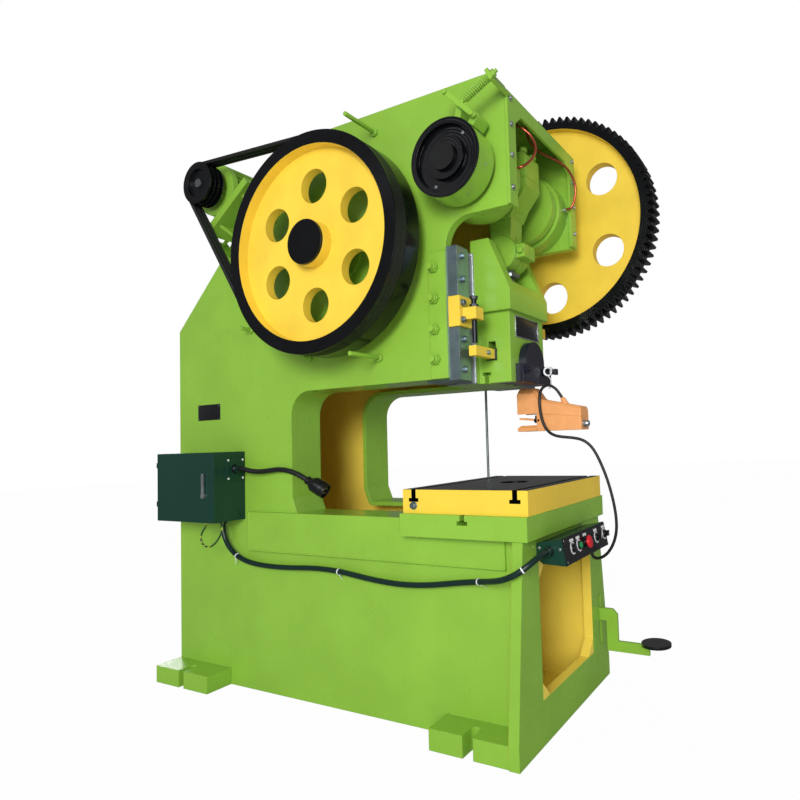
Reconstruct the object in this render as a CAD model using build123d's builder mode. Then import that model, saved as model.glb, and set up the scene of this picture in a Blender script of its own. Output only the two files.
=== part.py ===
from build123d import *
from math import acos, cos, degrees, hypot, pi, radians, sin, sqrt, tan
import os

# Geared C-frame stamping press, in millimetres. +X is to the operator's right, the front faces -Y, +Z is up.
# The origin is on the floor, under the frame. At rest the crank stands at top dead centre.

os.makedirs("parts", exist_ok=True)

# Welded frame
frame_half = 322.0
plate = 36.0
inner_half = frame_half - plate
rear = 990.0
top_rear = 200.0
top_front = -824.0
head_front = -880.0
head_bottom = 1921.0
frame_height = head_bottom + 509.0
head_top_front = frame_height - 85.0
slope_knee_z = frame_height - 465.0
rear_height = slope_knee_z - 300.0
gib_edge = -608.0
throat_top = head_bottom - 607.0
throat_rear = 222.0
bed_height = 726.0
ledge = bed_height + 62.0
ledge_rear = 195.0
throat_foot = bed_height + 127.0
throat_radius = 105.0
skin = 16.0
floor_plate = 30.0
slope_start = 604.0

# Front plate and feet
front_plate_thick = 40.0
front_half_high = frame_half + 54.0
foot_height = 76.0
window_half = inner_half - 31.0
window_low = 155.0
window_high = bed_height - 86.0
window_chamfer = 60.0
foot_reach = frame_half + 123.0
front_half_low = foot_reach + 5.0
foot_slot_depth = 75.0
front_foot_rear = -560.0
front_foot_slot = 42.0
rear_foot_front = 630.0
rear_foot_slot = 34.0

# Table and bolster
table_half = frame_half + 60.0
table_front = -942.0
table_rear = -405.0
table_top = bed_height + 85.0
bolster_half = table_half - 17.0
bolster_front = -940.0
bolster_rear = -410.0
bolster_top = table_top + 89.0
slot_neck = 20.0
slot_head = 44.0
slot_head_height = 14.0
table_slot_y = -682.0
bolster_slot_inset = 50.0
drop_radius = 60.0

# Ram line: crank, rod, slide and die shank share this Y
ram_y = -700.0
crank_z = head_bottom + 165.0
throw = 50.0
stroke = 2 * throw
journal = 62.0
pin = 75.0
running = 0.05
gap = 0.4
bush_outer = 78.0
boss_radius = 164.0
boss_face = frame_half - 122.0
bush_flange = 8.0
rod_half = 63.0
web_face = boss_face - 10.0
disc_face = web_face - 40.0
disc_radius = 150.0
bush_end = frame_half + 16.0

# Gear pair
module = 12.0
gear_teeth = 86
pinion_teeth = 20
pressure_angle = 20.0
backlash = 0.8
gear_near = frame_half + 74.0
gear_far = gear_near + 120.0
gear_web_radius = 470.0
gear_hub = 110.0
gear_hole_radius = 75.0
gear_hole_circle = 340.0
gear_hole_phase = 147.0
gear_seat = 60.0
shaft_drop = 221.0
centre_distance = module * (gear_teeth + pinion_teeth) / 2
shaft_z = crank_z - shaft_drop
shaft_y = ram_y + sqrt(centre_distance**2 - shaft_drop**2)
mesh_angle = degrees(-acos((shaft_y - ram_y) / centre_distance))

# Flywheel and its shaft
fly_radius = 436.0
fly_near = -frame_half - 211.0
fly_far = fly_near + 140.0
fly_rim_inner = 384.0
fly_web = 40.0
fly_web_near = fly_near + 43.0
fly_hub = 90.0
fly_hole_radius = 68.5
fly_hole_circle = 238.0
cap_face = fly_near - 12.0
shaft = 35.0
bearing_seat = 40.0
bearing_outer = 70.0
bearing_flange = 98.0
bearing_flange_thick = 18.0

# Belts
belt_count = 3
belt_pitch = 19.0
belt_middle = fly_near + 34.0
belt_top = 17.0
belt_depth = 11.0
groove_depth = 14.0
groove_half_angle = 19.0
groove_side_gap = 0.35

# Motor
motor_y = 548.0
motor_z = slope_knee_z + 285.0
pulley_radius = 92.0
pulley_near = fly_near - 1.0
pulley_far = pulley_near + 65.0
motor_shaft = 19.0
motor_front = pulley_far + 17.0
motor_back = motor_front + 420.0
motor_core = 100.0
fin_height = 16.0
fin_count = 28
slope_angle = 35.3
motor_height = 123.6
base_length = 318.0
base_thick = 34.0
base_left = pulley_far + 5.0

# Brake
drum_near = -frame_half - 135.0
drum_far = -frame_half - 23.0
drum_radius = 136.0
drum_flange = 143.0
band_outer = 142.0
band_near = drum_near + 7.0
lever_x = drum_near + 26.0
lug_near = drum_near + 37.0
lever_thick = 12.0
pivot = 8.0

# Slide and gibs
rod_length = 496.0
pin_z = crank_z + throw
ball_z = pin_z - rod_length
slide_low = throat_top - 14.0
gib_inner = inner_half - 96.0
guide_half = gib_inner - 10.0
slide_half = guide_half - 28.0
slide_front = -782.0
guide_front = -640.0
guide_rear = -500.0
guide_top = ball_z + 181.0
vee_tip = guide_half + 40.0
vee_y = -590.0
vee_half_flat = 6.0
box_half = guide_half - 6.0
box_low = ball_z - 60.0
box_front = -798.0
box_step = ball_z + 25.0
slide_top = ball_z + 233.0
cheek_inner = box_half - 54.0
pocket_floor = ball_z + 60.0
ball = 38.0
ball_room = 12.0
neck = 28.0
clamp_z = ball_z + 202.0
clamp_radius = 72.0
clamp_half = 62.0
screw_radius = 30.0
gib_low = slide_low + 5.0
gib_high = guide_top - 6.0
gib_rear = -480.0
gib_nose = -656.0
gib_nose_inner = frame_half - 78.0

# Die shank clamp and knock-out
shank = 25.0
clamp_front = -815.0
clamp_left = -112.0
clamp_right = slide_half
clamp_base_top = slide_low + 73.0
clamp_arch = 85.0
clamp_arch_top = slide_low + 168.0
split_gap = 1.0
stud_x = 90.0
stud_z = slide_low + 50.0
bar_half = inner_half + 14.0
bar_thick = 32.0
bar_low = slide_low + 93.0
bar_high = bar_low + 38.0
bar_slot_high = bar_high + 33.0
stop_x = inner_half - 6.0
stop_tip = bar_high + 12.0
bracket_low = slide_low + 205.0
bracket_high = bracket_low + 115.0

# Cabinet and control box
cabinet_outer = frame_half + 158.0
cabinet_front = 524.0
cabinet_rear = 922.0
cabinet_low = 755.0
cabinet_high = 1062.0
door_depth = 14.0
sheet = 2.0
control_left = -270.0
control_right = 175.0
panel_thick = 3.0

# Pedal
pedal_x = frame_half + 24.5
pedal_plate = 14.0
pedal_pivot_y = -300.0
pedal_pivot_z = 293.0
pedal_pin = 18.0
pedal_slot_low = 166.0
pedal_slot_high = 380.0
pedal_slot_left = pedal_x - 6.5
pedal_slot_right = pedal_slot_left + 26.0
pad_radius = 62.5
pad_y = -1166.0
rod_y = -380.0
pull_x = frame_half + 17.6
pull_radius = 6.0
pull_top = crank_z - 96.0
pull_guides = (540.0, pull_top - 240.0)

# Foot switch hanging under the slide
switch_left = 45.0
switch_right = 135.0
switch_front = -985.0
switch_rear = -700.0
switch_low = slide_low - 194.0
switch_wall = 5.0
hook_y = -832.0
hook_x = 90.0

bend_share = 0.45


def save(piece, name):
    piece.part.label = name
    export_step(piece.part, f"parts/{name}.step")


def shaft_plane(y, z, x):
    # A plane across an axle that runs along X
    return Plane(origin=(x, y, z), x_dir=(0, 1, 0), z_dir=(1, 0, 0))


def rod_on(plane, radius, length, mode=Mode.ADD):
    with BuildSketch(plane) as disc:
        Circle(radius)
    extrude(disc.sketch, amount=length, mode=mode)


def steps(y, z, sizes, mode=Mode.ADD):
    # A stepped axle from (start, end, radius) triples
    for start, end, radius in sizes:
        rod_on(shaft_plane(y, z, start), radius, end - start, mode)


def prism(plane, points, length, mode=Mode.ADD):
    # A prism on a plane, from an outline in the plane's own coordinates
    with BuildSketch(plane) as outline_face:
        with BuildLine():
            Polyline(*points, close=True)
        make_face()
    extrude(outline_face.sketch, amount=length, mode=mode)


def side_profile(points, start, end, mode=Mode.ADD):
    # A prism along X with an outline in Y and Z
    prism(Plane.YZ.offset(start), points, end - start, mode)


def front_profile(points, start, end, mode=Mode.ADD):
    # A prism along Y with an outline in X and Z
    prism(Plane.XZ.offset(-start), points, start - end, mode)


def plan_profile(points, low, high, mode=Mode.ADD):
    # A prism along Z with an outline in X and Y
    prism(Plane.XY.offset(low), points, high - low, mode)


def block(low, high, mode=Mode.ADD):
    # A block between two corners
    corners = [(low[0], low[1]), (high[0], low[1]), (high[0], high[1]), (low[0], high[1])]
    plan_profile(corners, low[2], high[2], mode)


def hexagon_on(plane, across, height):
    with BuildSketch(plane) as outline_face:
        RegularPolygon(across / 2, 6, major_radius=False)
    extrude(outline_face.sketch, amount=height)


def corner_radii(points):
    # The largest arc that each corner's shorter run allows
    radii = []
    for before, corner, after in zip(points, points[1:], points[2:]):
        first = Vector(*corner) - Vector(*before)
        second = Vector(*after) - Vector(*corner)
        half_turn = radians(first.get_angle(second)) / 2
        radii.append(bend_share * min(first.length, second.length) / tan(half_turn))
    return radii


def tube(points, radius):
    # A round line along a route, with an arc at each corner
    radii = corner_radii(points)
    with BuildPart() as piece:
        with BuildLine() as route:
            FilletPolyline(*points, radius=radii)
        with BuildSketch(Plane(origin=route.line @ 0, z_dir=route.line % 0)):
            Circle(radius)
        sweep()
    length = route.wires()[0].length
    share = piece.part.volume / (pi * radius**2 * length)
    print(f"line length {length:.0f}, tightest arc {min(radii):.0f}, volume share {share:.3f}")
    return piece


# Slope of the frame's upper rear edge and of the motor's base plate
slope_knee_y = 680.0
slope_rate = (frame_height - slope_knee_z) / (slope_knee_y - top_rear)
down_y = cos(radians(slope_angle))
down_z = -sin(radians(slope_angle))
out_y = -down_z
out_z = down_y


def on_slope(along, out):
    # A point beside the motor's axis: along the base plate, and out from the base plate's top
    return (
        motor_y + along * down_y + (out - motor_height) * out_y,
        motor_z + along * down_z + (out - motor_height) * out_z,
    )


base_half = base_length / 2
base_shift = -18.0
base_top_end = base_shift - base_half
base_low_end = base_shift + base_half
motor_notch = [
    on_slope(base_top_end, -base_thick),
    on_slope(base_low_end, -base_thick),
    on_slope(base_low_end, 200),
    on_slope(base_top_end, 200),
]

frame_outline = [
    (rear, 0),
    (rear, rear_height),
    (slope_knee_y, slope_knee_z),
    (top_rear, frame_height),
    (top_front, frame_height),
    (head_front, head_top_front),
    (head_front, head_bottom),
    (gib_edge, head_bottom),
    (gib_edge, throat_top),
    (throat_rear, throat_top),
    (throat_rear, throat_foot),
    (ledge_rear, ledge),
    (table_rear, ledge),
    (table_rear, bed_height),
    (head_front, bed_height),
    (head_front, 0),
]
doubler_low = 618.0
doubler_front = -826.0
doubler_rear = 493.0
doubler_thick = 10.0
strip_rear = -530.0
strip_proud = 8.0
strip_top = gib_high - 15.0
adjust_y = -558.0
adjust_heights = (gib_high - 75, gib_high - 195, gib_low + 197, gib_low + 82)
adjust_radius = 12.0


def side_plate(side):
    # side is -1 on the left and 1 on the right
    outer = side * frame_half
    inner = side * inner_half
    with BuildPart() as piece:
        with BuildSketch(Plane.YZ.offset(inner)):
            with BuildLine():
                Polyline(*frame_outline, close=True)
            face = make_face()
            corners = [face.vertices().sort_by_distance((gib_edge, head_bottom))[0]]
            corners += [face.vertices().sort_by_distance((throat_rear, throat_top))[0]]
            fillet(corners, throat_radius)
        extrude(amount=outer - inner)
        rod_on(shaft_plane(ram_y, crank_z, inner), boss_radius, side * boss_face - inner)
        doubler = [
            (doubler_front, doubler_low),
            (doubler_rear, doubler_low),
            (doubler_rear, ledge),
            (table_rear, ledge),
            (table_rear, bed_height),
            (doubler_front, bed_height),
        ]
        side_profile(doubler, outer, outer + side * doubler_thick)
        strip = [
            (gib_edge, throat_top),
            (strip_rear, throat_top),
            (strip_rear, strip_top),
            (gib_edge, strip_top),
        ]
        side_profile(strip, outer, outer + side * strip_proud)
        bore_start = side * (boss_face - 1)
        bore_length = side * (frame_half - boss_face + 2)
        rod_on(shaft_plane(ram_y, crank_z, bore_start), bush_outer, bore_length, Mode.SUBTRACT)
        rod_on(shaft_plane(shaft_y, shaft_z, bore_start), bearing_outer, bore_length, Mode.SUBTRACT)
        side_profile(motor_notch, inner, outer, Mode.SUBTRACT)
        for height in adjust_heights:
            reach = outer + side * (strip_proud + 1) - inner
            rod_on(shaft_plane(adjust_y, height, inner), adjust_radius, reach, Mode.SUBTRACT)
        if side > 0:
            rod_on(shaft_plane(pedal_pivot_y, pedal_pivot_z, outer), 30, pedal_x - gap - outer)
            pin_length = pedal_x + pedal_plate + gap - outer
            rod_on(shaft_plane(pedal_pivot_y, pedal_pivot_z, outer), pedal_pin, pin_length)
            rod_on(shaft_plane(pedal_pivot_y, pedal_pivot_z, outer + pin_length), 28, 8)
            for low in pull_guides:
                block((outer, rod_y - 22, low), (outer + 30, rod_y + 22, low + 30))
                rod_on(Plane((pull_x, rod_y, low)), pull_radius + running, 30, Mode.SUBTRACT)
    return piece


side_plate_left = side_plate(-1)
save(side_plate_left, "side_plate_left")
side_plate_right = side_plate(1)
save(side_plate_right, "side_plate_right")

# Front plate with its window and the pedal slot
front_face = head_front - front_plate_thick
with BuildPart() as front_plate:
    outline = [
        (-front_half_low, 0),
        (front_half_low, 0),
        (front_half_low, foot_height),
        (front_half_high, bed_height),
        (-front_half_high, bed_height),
        (-front_half_low, foot_height),
    ]
    front_profile(outline, head_front, front_face)
    with BuildSketch(Plane.XZ.offset(-head_front)):
        with Locations((0, (window_low + window_high) / 2)):
            window = Rectangle(2 * window_half, window_high - window_low)
        chamfer(window.vertices(), window_chamfer)
        slot_width = pedal_slot_right - pedal_slot_left
        with Locations(((pedal_slot_left + pedal_slot_right) / 2, (pedal_slot_low + pedal_slot_high) / 2)):
            SlotOverall(pedal_slot_high - pedal_slot_low, slot_width, rotation=90)
    extrude(amount=front_plate_thick, mode=Mode.SUBTRACT)
save(front_plate, "front_plate")

# Bottom plate between the side plates
with BuildPart() as base_plate:
    block((-inner_half, head_front, 0), (inner_half, rear - skin, floor_plate))
save(base_plate, "base_plate")


def bent_plate(points, thickness, start, end, radii=None):
    # A plate along X, bent along a path in Y and Z, with its thickness on the path's right
    with BuildPart() as piece:
        with BuildSketch(Plane.YZ.offset(start)):
            with BuildLine():
                if radii:
                    FilletPolyline(*points, radius=radii)
                else:
                    Polyline(*points)
                offset(amount=thickness, side=Side.RIGHT, kind=Kind.INTERSECTION)
            make_face()
        extrude(amount=end - start)
    return piece


rear_path = [
    (slope_start, slope_knee_z + (slope_knee_y - slope_start) * slope_rate),
    (slope_knee_y, slope_knee_z),
    (rear, rear_height),
    (rear, 0),
]
rear_plate = bent_plate(rear_path, skin, -inner_half, inner_half)
save(rear_plate, "rear_plate")

top_end = 300.0
top_path = [
    (head_front, head_top_front),
    (top_front, frame_height),
    (top_rear, frame_height),
    (top_end, frame_height - (top_end - top_rear) * slope_rate),
]
top_plate = bent_plate(top_path, skin, -inner_half, inner_half)
save(top_plate, "top_plate")

# Throat lining strips, welded inside each side plate round the throat
lining = 20.0
lining_inner = inner_half - 131.0
lining_path = [
    (table_rear, ledge),
    (ledge_rear, ledge),
    (throat_rear, throat_foot),
    (throat_rear, throat_top),
    (gib_rear, throat_top),
]
with BuildPart() as throat_linings:
    for start in (-inner_half, lining_inner):
        with BuildSketch(Plane.YZ.offset(start)):
            with BuildLine():
                FilletPolyline(*lining_path, radius=[4, 4, throat_radius])
                offset(amount=lining, side=Side.RIGHT, kind=Kind.INTERSECTION)
            make_face()
        extrude(amount=inner_half - lining_inner)
save(throat_linings, "throat_linings")

# Four slotted feet
with BuildPart() as machine_feet:
    for side in (-1, 1):
        for front, back, width in (
            (head_front, front_foot_rear, front_foot_slot),
            (rear_foot_front, rear, rear_foot_slot),
        ):
            left, right = sorted((side * frame_half, side * foot_reach))
            block((left, front, 0), (right, back, foot_height))
            slot_y = (front + back) / 2
            slot_end = foot_reach - foot_slot_depth + width / 2
            with BuildSketch(Plane.XY):
                with Locations((side * slot_end, slot_y)):
                    Circle(width / 2)
                with Locations((side * (slot_end + foot_slot_depth / 2), slot_y)):
                    Rectangle(foot_slot_depth, width)
            extrude(amount=foot_height, mode=Mode.SUBTRACT)
save(machine_feet, "machine_feet")


def tee_slot(y, top, neck_depth, reach):
    # A T-slot along X, cut down from a top face
    head_low = top - neck_depth - slot_head_height
    block((-reach, y - slot_neck / 2, head_low), (reach, y + slot_neck / 2, top), Mode.SUBTRACT)
    block(
        (-reach, y - slot_head / 2, head_low),
        (reach, y + slot_head / 2, head_low + slot_head_height),
        Mode.SUBTRACT,
    )


with BuildPart() as table_body:
    block((-table_half, table_front, bed_height), (table_half, table_rear, table_top))
    tee_slot(table_slot_y, table_top, 22, table_half)
    rod_on(Plane((0, ram_y, bed_height)), drop_radius + 15, table_top - bed_height, Mode.SUBTRACT)
save(table_body, "table_body")

with BuildPart() as bolster_plate:
    block((-bolster_half, bolster_front, table_top), (bolster_half, bolster_rear, bolster_top))
    for slot_y in (bolster_front + bolster_slot_inset, bolster_rear - bolster_slot_inset):
        tee_slot(slot_y, bolster_top, 32, bolster_half)
    rod_on(Plane((0, ram_y, table_top)), drop_radius, bolster_top - table_top, Mode.SUBTRACT)
save(bolster_plate, "bolster_plate")

# Head cover, an inverted U on the front edges of the side plates
cover = 12.0
cover_half = frame_half
cover_low = head_bottom + 4.0
opening_half = frame_half - 60.0
opening_shoulder = head_top_front - 100.0
opening_top = head_top_front - 56.0
opening_top_half = opening_half - 52.0
with BuildPart() as head_cover:
    outline = [
        (-cover_half, cover_low),
        (-cover_half, head_top_front),
        (cover_half, head_top_front),
        (cover_half, cover_low),
        (opening_half, cover_low),
        (opening_half, opening_shoulder),
        (opening_top_half, opening_top),
        (-opening_top_half, opening_top),
        (-opening_half, opening_shoulder),
        (-opening_half, cover_low),
    ]
    front_profile(outline, head_front, head_front - cover)
save(head_cover, "head_cover")

# Crank bushes, flanged on the outer faces of the side plates
with BuildPart() as crank_bushes:
    for side in (-1, 1):
        steps(ram_y, crank_z, [(side * boss_face, side * (frame_half + bush_flange), bush_outer)])
        steps(ram_y, crank_z, [(side * frame_half, side * (frame_half + bush_flange), bush_outer + 17)])
    reach = frame_half + bush_flange
    steps(ram_y, crank_z, [(-reach, reach, journal + running)], Mode.SUBTRACT)
save(crank_bushes, "crank_bushes")

# Flanged bearings of the flywheel shaft
with BuildPart() as shaft_bearings:
    for side in (-1, 1):
        flange_face = side * (frame_half + bearing_flange_thick)
        steps(shaft_y, shaft_z, [(side * inner_half, flange_face, bearing_outer)])
        steps(shaft_y, shaft_z, [(side * frame_half, flange_face, bearing_flange)])
    reach = frame_half + bearing_flange_thick
    steps(shaft_y, shaft_z, [(-reach, reach, bearing_seat + running)], Mode.SUBTRACT)
save(shaft_bearings, "shaft_bearings")

# Gibs: V-grooved guides that wrap the front edges of the side plates
vee_gap = gap * sqrt(2)
vee_mouth = vee_tip - guide_half + vee_half_flat
gib_shift = gib_inner - guide_half
with BuildPart() as gibs:
    for side in (-1, 1):
        outline = [
            (frame_half, gib_edge),
            (frame_half, gib_nose),
            (gib_nose_inner, gib_nose),
            (gib_inner, vee_y - vee_mouth + gib_shift - vee_gap),
            (vee_tip + gap, vee_y - vee_half_flat - vee_gap + gap),
            (vee_tip + gap, vee_y + vee_half_flat + vee_gap - gap),
            (gib_inner, vee_y + vee_mouth - gib_shift + vee_gap),
            (gib_inner, gib_rear),
            (inner_half, gib_rear),
            (inner_half, gib_edge),
        ]
        plan_profile([(side * x, y) for x, y in outline], gib_low, gib_high)
save(gibs, "gibs")

# Gib adjusting screws and knock-out stop screws, with their lock nuts
lug_low = bracket_low + 25.0
lug_high = lug_low + 45.0
with BuildPart() as adjusting_screws:
    for side in (-1, 1):
        for height in adjust_heights:
            start = side * inner_half
            nut_face = side * (frame_half + strip_proud)
            rod_on(shaft_plane(adjust_y, height, start), adjust_radius, side * 80)
            with BuildSketch(shaft_plane(adjust_y, height, nut_face)):
                RegularPolygon(18, 6, major_radius=False)
            extrude(amount=side * 14)
    for side in (-1, 1):
        rod_on(Plane((side * stop_x, ram_y, stop_tip)), 10, 165)
        hexagon_on(Plane((side * stop_x, ram_y, lug_high)), 30, 14)
        hexagon_on(Plane((side * stop_x, ram_y, lug_high + 33)), 26, 12)
save(adjusting_screws, "adjusting_screws")

# Stop brackets on the noses of the gibs
bracket_thick = 12.0
bracket_cheek = 10.0
with BuildPart() as stop_brackets:
    for side in (-1, 1):
        left, right = sorted((side * (gib_nose_inner + 4), side * (frame_half + bracket_cheek)))
        block((left, gib_nose - bracket_thick, bracket_low), (right, gib_nose, bracket_high))
        left, right = sorted((side * frame_half, side * (frame_half + bracket_cheek)))
        block((left, gib_nose, bracket_low), (right, gib_edge - 10, bracket_high))
        left, right = sorted((side * (stop_x - 28), side * (stop_x + 28)))
        block((left, ram_y - 24, lug_low), (right, gib_nose - bracket_thick, lug_high))
    for side in (-1, 1):
        rod_on(Plane((side * stop_x, ram_y, lug_low)), 10, lug_high - lug_low, Mode.SUBTRACT)
save(stop_brackets, "stop_brackets")

# Bolts and guard studs on the frame
front_z = Vector(0, -1, 0)
with BuildPart() as frame_bolts:
    for side in (-1, 1):
        x = side * (frame_half - 22)
        for z in (head_bottom + 69, head_bottom + 189, head_top_front - 120, head_top_front - 23):
            hexagon_on(Plane((x, head_front - cover, z), x_dir=(1, 0, 0), z_dir=front_z), 17, 9)
        x = side * (frame_half - 39)
        for z in (gib_low + 40, gib_low + 155, gib_high - 125, gib_high - 35):
            hexagon_on(Plane((x, gib_nose, z), x_dir=(1, 0, 0), z_dir=front_z), 24, 14)
        with BuildSketch(shaft_plane(bolster_rear - bolster_slot_inset, table_top + 29, side * bolster_half)):
            RegularPolygon(12, 6, major_radius=False)
        extrude(amount=side * 14)
    for y, z, reach, radius in (
        (-279, frame_height - 84, 175, 10),
        (-279, throat_top + 106, 175, 10),
        (466, rear_height - 48, 60, 10),
        (105, throat_top + 141, 40, 10),
    ):
        rod_on(shaft_plane(y, z, -frame_half), radius, -reach)
        with BuildSketch(shaft_plane(y, z, -frame_half)):
            RegularPolygon(16, 6, major_radius=False)
        extrude(amount=-12)
save(frame_bolts, "frame_bolts")

# Gear teeth


def tooth_outline(teeth, first_angle):
    # Involute teeth with flat tips and roots; first_angle is the middle of a tooth
    pitch = module * teeth / 2
    base = pitch * cos(radians(pressure_angle))
    tip = pitch + module
    root = pitch - 1.25 * module
    involute = tan(radians(pressure_angle)) - radians(pressure_angle)
    half_at_pitch = pi / (2 * teeth) - backlash / (4 * pitch)

    def half_angle(radius):
        angle = acos(min(1, base / max(radius, base)))
        return half_at_pitch + involute - (tan(angle) - angle)

    radii = [root, (max(root, base) + pitch) / 2, (pitch + tip) / 2, tip]
    points = []
    for tooth in range(teeth):
        middle = radians(first_angle) + 2 * pi * tooth / teeth
        for radius in radii:
            angle = middle - half_angle(radius)
            points.append((radius * cos(angle), radius * sin(angle)))
        for radius in reversed(radii):
            angle = middle + half_angle(radius)
            points.append((radius * cos(angle), radius * sin(angle)))
    return points


gear_web_near = gear_near + 34.0
gear_web_far = gear_web_near + 50.0
gear_rim_far = gear_far
with BuildPart() as drive_gear:
    with BuildSketch(shaft_plane(ram_y, crank_z, gear_near)):
        with BuildLine():
            Polyline(*tooth_outline(gear_teeth, mesh_angle), close=True)
        make_face()
    extrude(amount=gear_far - gear_near)
    for face, depth in ((gear_near, gear_web_near - gear_near), (gear_rim_far, gear_web_far - gear_rim_far)):
        with BuildSketch(shaft_plane(ram_y, crank_z, face)):
            Circle(gear_web_radius)
            Circle(gear_hub, mode=Mode.SUBTRACT)
        extrude(amount=depth, mode=Mode.SUBTRACT)
    with BuildSketch(shaft_plane(ram_y, crank_z, gear_web_near)):
        with PolarLocations(gear_hole_circle, 6, start_angle=gear_hole_phase):
            Circle(gear_hole_radius)
    extrude(amount=gear_web_far - gear_web_near, mode=Mode.SUBTRACT)
    steps(ram_y, crank_z, [(gear_near - 51, gear_near, gear_hub), (gear_far, gear_far + 14, gear_hub)])
    steps(ram_y, crank_z, [(gear_near - 52, gear_far + 15, gear_seat + running)], Mode.SUBTRACT)
save(drive_gear, "drive_gear")

shaft_neck = frame_half - 52.0
shaft_end = frame_half + 28.0
pinion_near = gear_near - 4.0
pinion_far = gear_far + 8.0
with BuildPart() as pinion_shaft:
    steps(
        shaft_y,
        shaft_z,
        [
            (fly_near, -shaft_end, shaft),
            (-shaft_end, -shaft_neck, bearing_seat),
            (-shaft_neck, shaft_neck, 45),
            (shaft_neck, shaft_end, bearing_seat),
            (shaft_end, pinion_near, 50),
            (pinion_far, pinion_far + 12, 30),
        ],
    )
    with BuildSketch(shaft_plane(shaft_y, shaft_z, pinion_near)):
        with BuildLine():
            Polyline(*tooth_outline(pinion_teeth, mesh_angle + 180 + 180 / pinion_teeth), close=True)
        make_face()
    extrude(amount=pinion_far - pinion_near)
save(pinion_shaft, "pinion_shaft")

# Flywheel with V-grooves for the belts, and its hub cap
groove_top = belt_top / 2 + groove_side_gap / cos(radians(groove_half_angle))
groove_bottom = groove_top - groove_depth * tan(radians(groove_half_angle))
belt_places = [belt_middle + (i - (belt_count - 1) / 2) * belt_pitch for i in range(belt_count)]


def grooved_rim(start, end, radius):
    # Rim outline from one face to the other, along X and outwards
    points = [(start, radius)]
    for x in belt_places:
        points += [
            (x - groove_top, radius),
            (x - groove_bottom, radius - groove_depth),
            (x + groove_bottom, radius - groove_depth),
            (x + groove_top, radius),
        ]
    return points + [(end, radius)]


fly_plane = Plane(origin=(0, shaft_y, shaft_z), x_dir=(1, 0, 0), z_dir=(0, -1, 0))
fly_axis = Axis((0, shaft_y, shaft_z), (1, 0, 0))
with BuildPart() as flywheel:
    with BuildSketch(fly_plane):
        with BuildLine():
            Polyline(
                (fly_near, shaft),
                (fly_near, fly_hub),
                (fly_web_near, fly_hub),
                (fly_web_near, fly_rim_inner),
                (fly_near, fly_rim_inner),
                *grooved_rim(fly_near, fly_far, fly_radius),
                (fly_far, fly_rim_inner),
                (fly_web_near + fly_web, fly_rim_inner),
                (fly_web_near + fly_web, fly_hub),
                (fly_far + 18, fly_hub),
                (fly_far + 18, shaft),
                close=True,
            )
        make_face()
    revolve(axis=fly_axis)
    with BuildSketch(shaft_plane(shaft_y, shaft_z, fly_web_near)):
        with PolarLocations(fly_hole_circle, 6, start_angle=30):
            Circle(fly_hole_radius)
    extrude(amount=fly_web, mode=Mode.SUBTRACT)
    rod_on(shaft_plane(shaft_y, shaft_z, cap_face), fly_hub - 2, fly_near - cap_face)
save(flywheel, "flywheel")

# Motor pulley and shaft
pulley_plane = Plane(origin=(0, motor_y, motor_z), x_dir=(1, 0, 0), z_dir=(0, -1, 0))
motor_axis = Axis((0, motor_y, motor_z), (1, 0, 0))
with BuildPart() as motor_pulley:
    with BuildSketch(pulley_plane):
        with BuildLine():
            Polyline(
                (pulley_near + 10, motor_shaft),
                (pulley_near + 10, pulley_radius - 34),
                (pulley_near, pulley_radius - 30),
                *grooved_rim(pulley_near, pulley_far, pulley_radius),
                (pulley_far, motor_shaft),
                close=True,
            )
        make_face()
    revolve(axis=motor_axis)
save(motor_pulley, "motor_pulley")

with BuildPart() as motor_rotor:
    steps(
        motor_y,
        motor_z,
        [
            (pulley_near + 4, motor_front - 15, motor_shaft),
            (motor_front - 15, motor_back + 8, motor_shaft + 3),
            (motor_back + 8, motor_back + 20, 78),
        ],
    )
save(motor_rotor, "motor_rotor")

# Motor housing: ribbed barrel, end shields, feet, fan cover and terminal box
slope_plane_dir = (0, down_y, down_z)
out_dir = (0, out_y, out_z)
with BuildPart() as motor_housing:
    with BuildSketch(shaft_plane(motor_y, motor_z, motor_front + 40)):
        Circle(motor_core)
        fin_reach = motor_core + fin_height
        with PolarLocations(motor_core + fin_height / 2 - 2, fin_count, start_angle=180 / fin_count - slope_angle):
            Rectangle(fin_height + 4, 5)
    extrude(amount=motor_back - motor_front - 80)
    steps(
        motor_y,
        motor_z,
        [
            (motor_front + 12, motor_front + 40, 116),
            (motor_front, motor_front + 12, 60),
            (motor_back - 40, motor_back, 112),
        ],
    )
    for start in (motor_front + 60, motor_back - 120):
        foot = [
            on_slope(-108, 0),
            on_slope(108, 0),
            on_slope(108, 16),
            on_slope(70, 50),
            on_slope(-70, 50),
            on_slope(-108, 16),
        ]
        side_profile(foot, start, start + 45)
    cover_end = motor_back + 62
    steps(motor_y, motor_z, [(motor_back, cover_end, 112)])
    steps(motor_y, motor_z, [(motor_back, cover_end - 3, 109)], Mode.SUBTRACT)
    with BuildSketch(shaft_plane(motor_y, motor_z, cover_end - 3)):
        for ring in (35, 60, 85):
            with PolarLocations(ring, 12 if ring > 40 else 8):
                Circle(6)
    extrude(amount=3, mode=Mode.SUBTRACT)
    steps(motor_y, motor_z, [(motor_front, motor_back, motor_shaft + 3 + running)], Mode.SUBTRACT)
    box_sides = [on_slope(-48, motor_height + 92), on_slope(48, motor_height + 92)]
    box_sides += [on_slope(48, motor_height + 150), on_slope(-48, motor_height + 150)]
    side_profile(box_sides, -230, -130)
save(motor_housing, "motor_housing")

with BuildPart() as motor_base_plate:
    outline = [on_slope(base_top_end, 0), on_slope(base_low_end, 0)]
    outline += [on_slope(base_low_end, -base_thick), on_slope(base_top_end, -base_thick)]
    side_profile(outline, base_left, frame_half)
save(motor_base_plate, "motor_base_plate")

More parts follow.
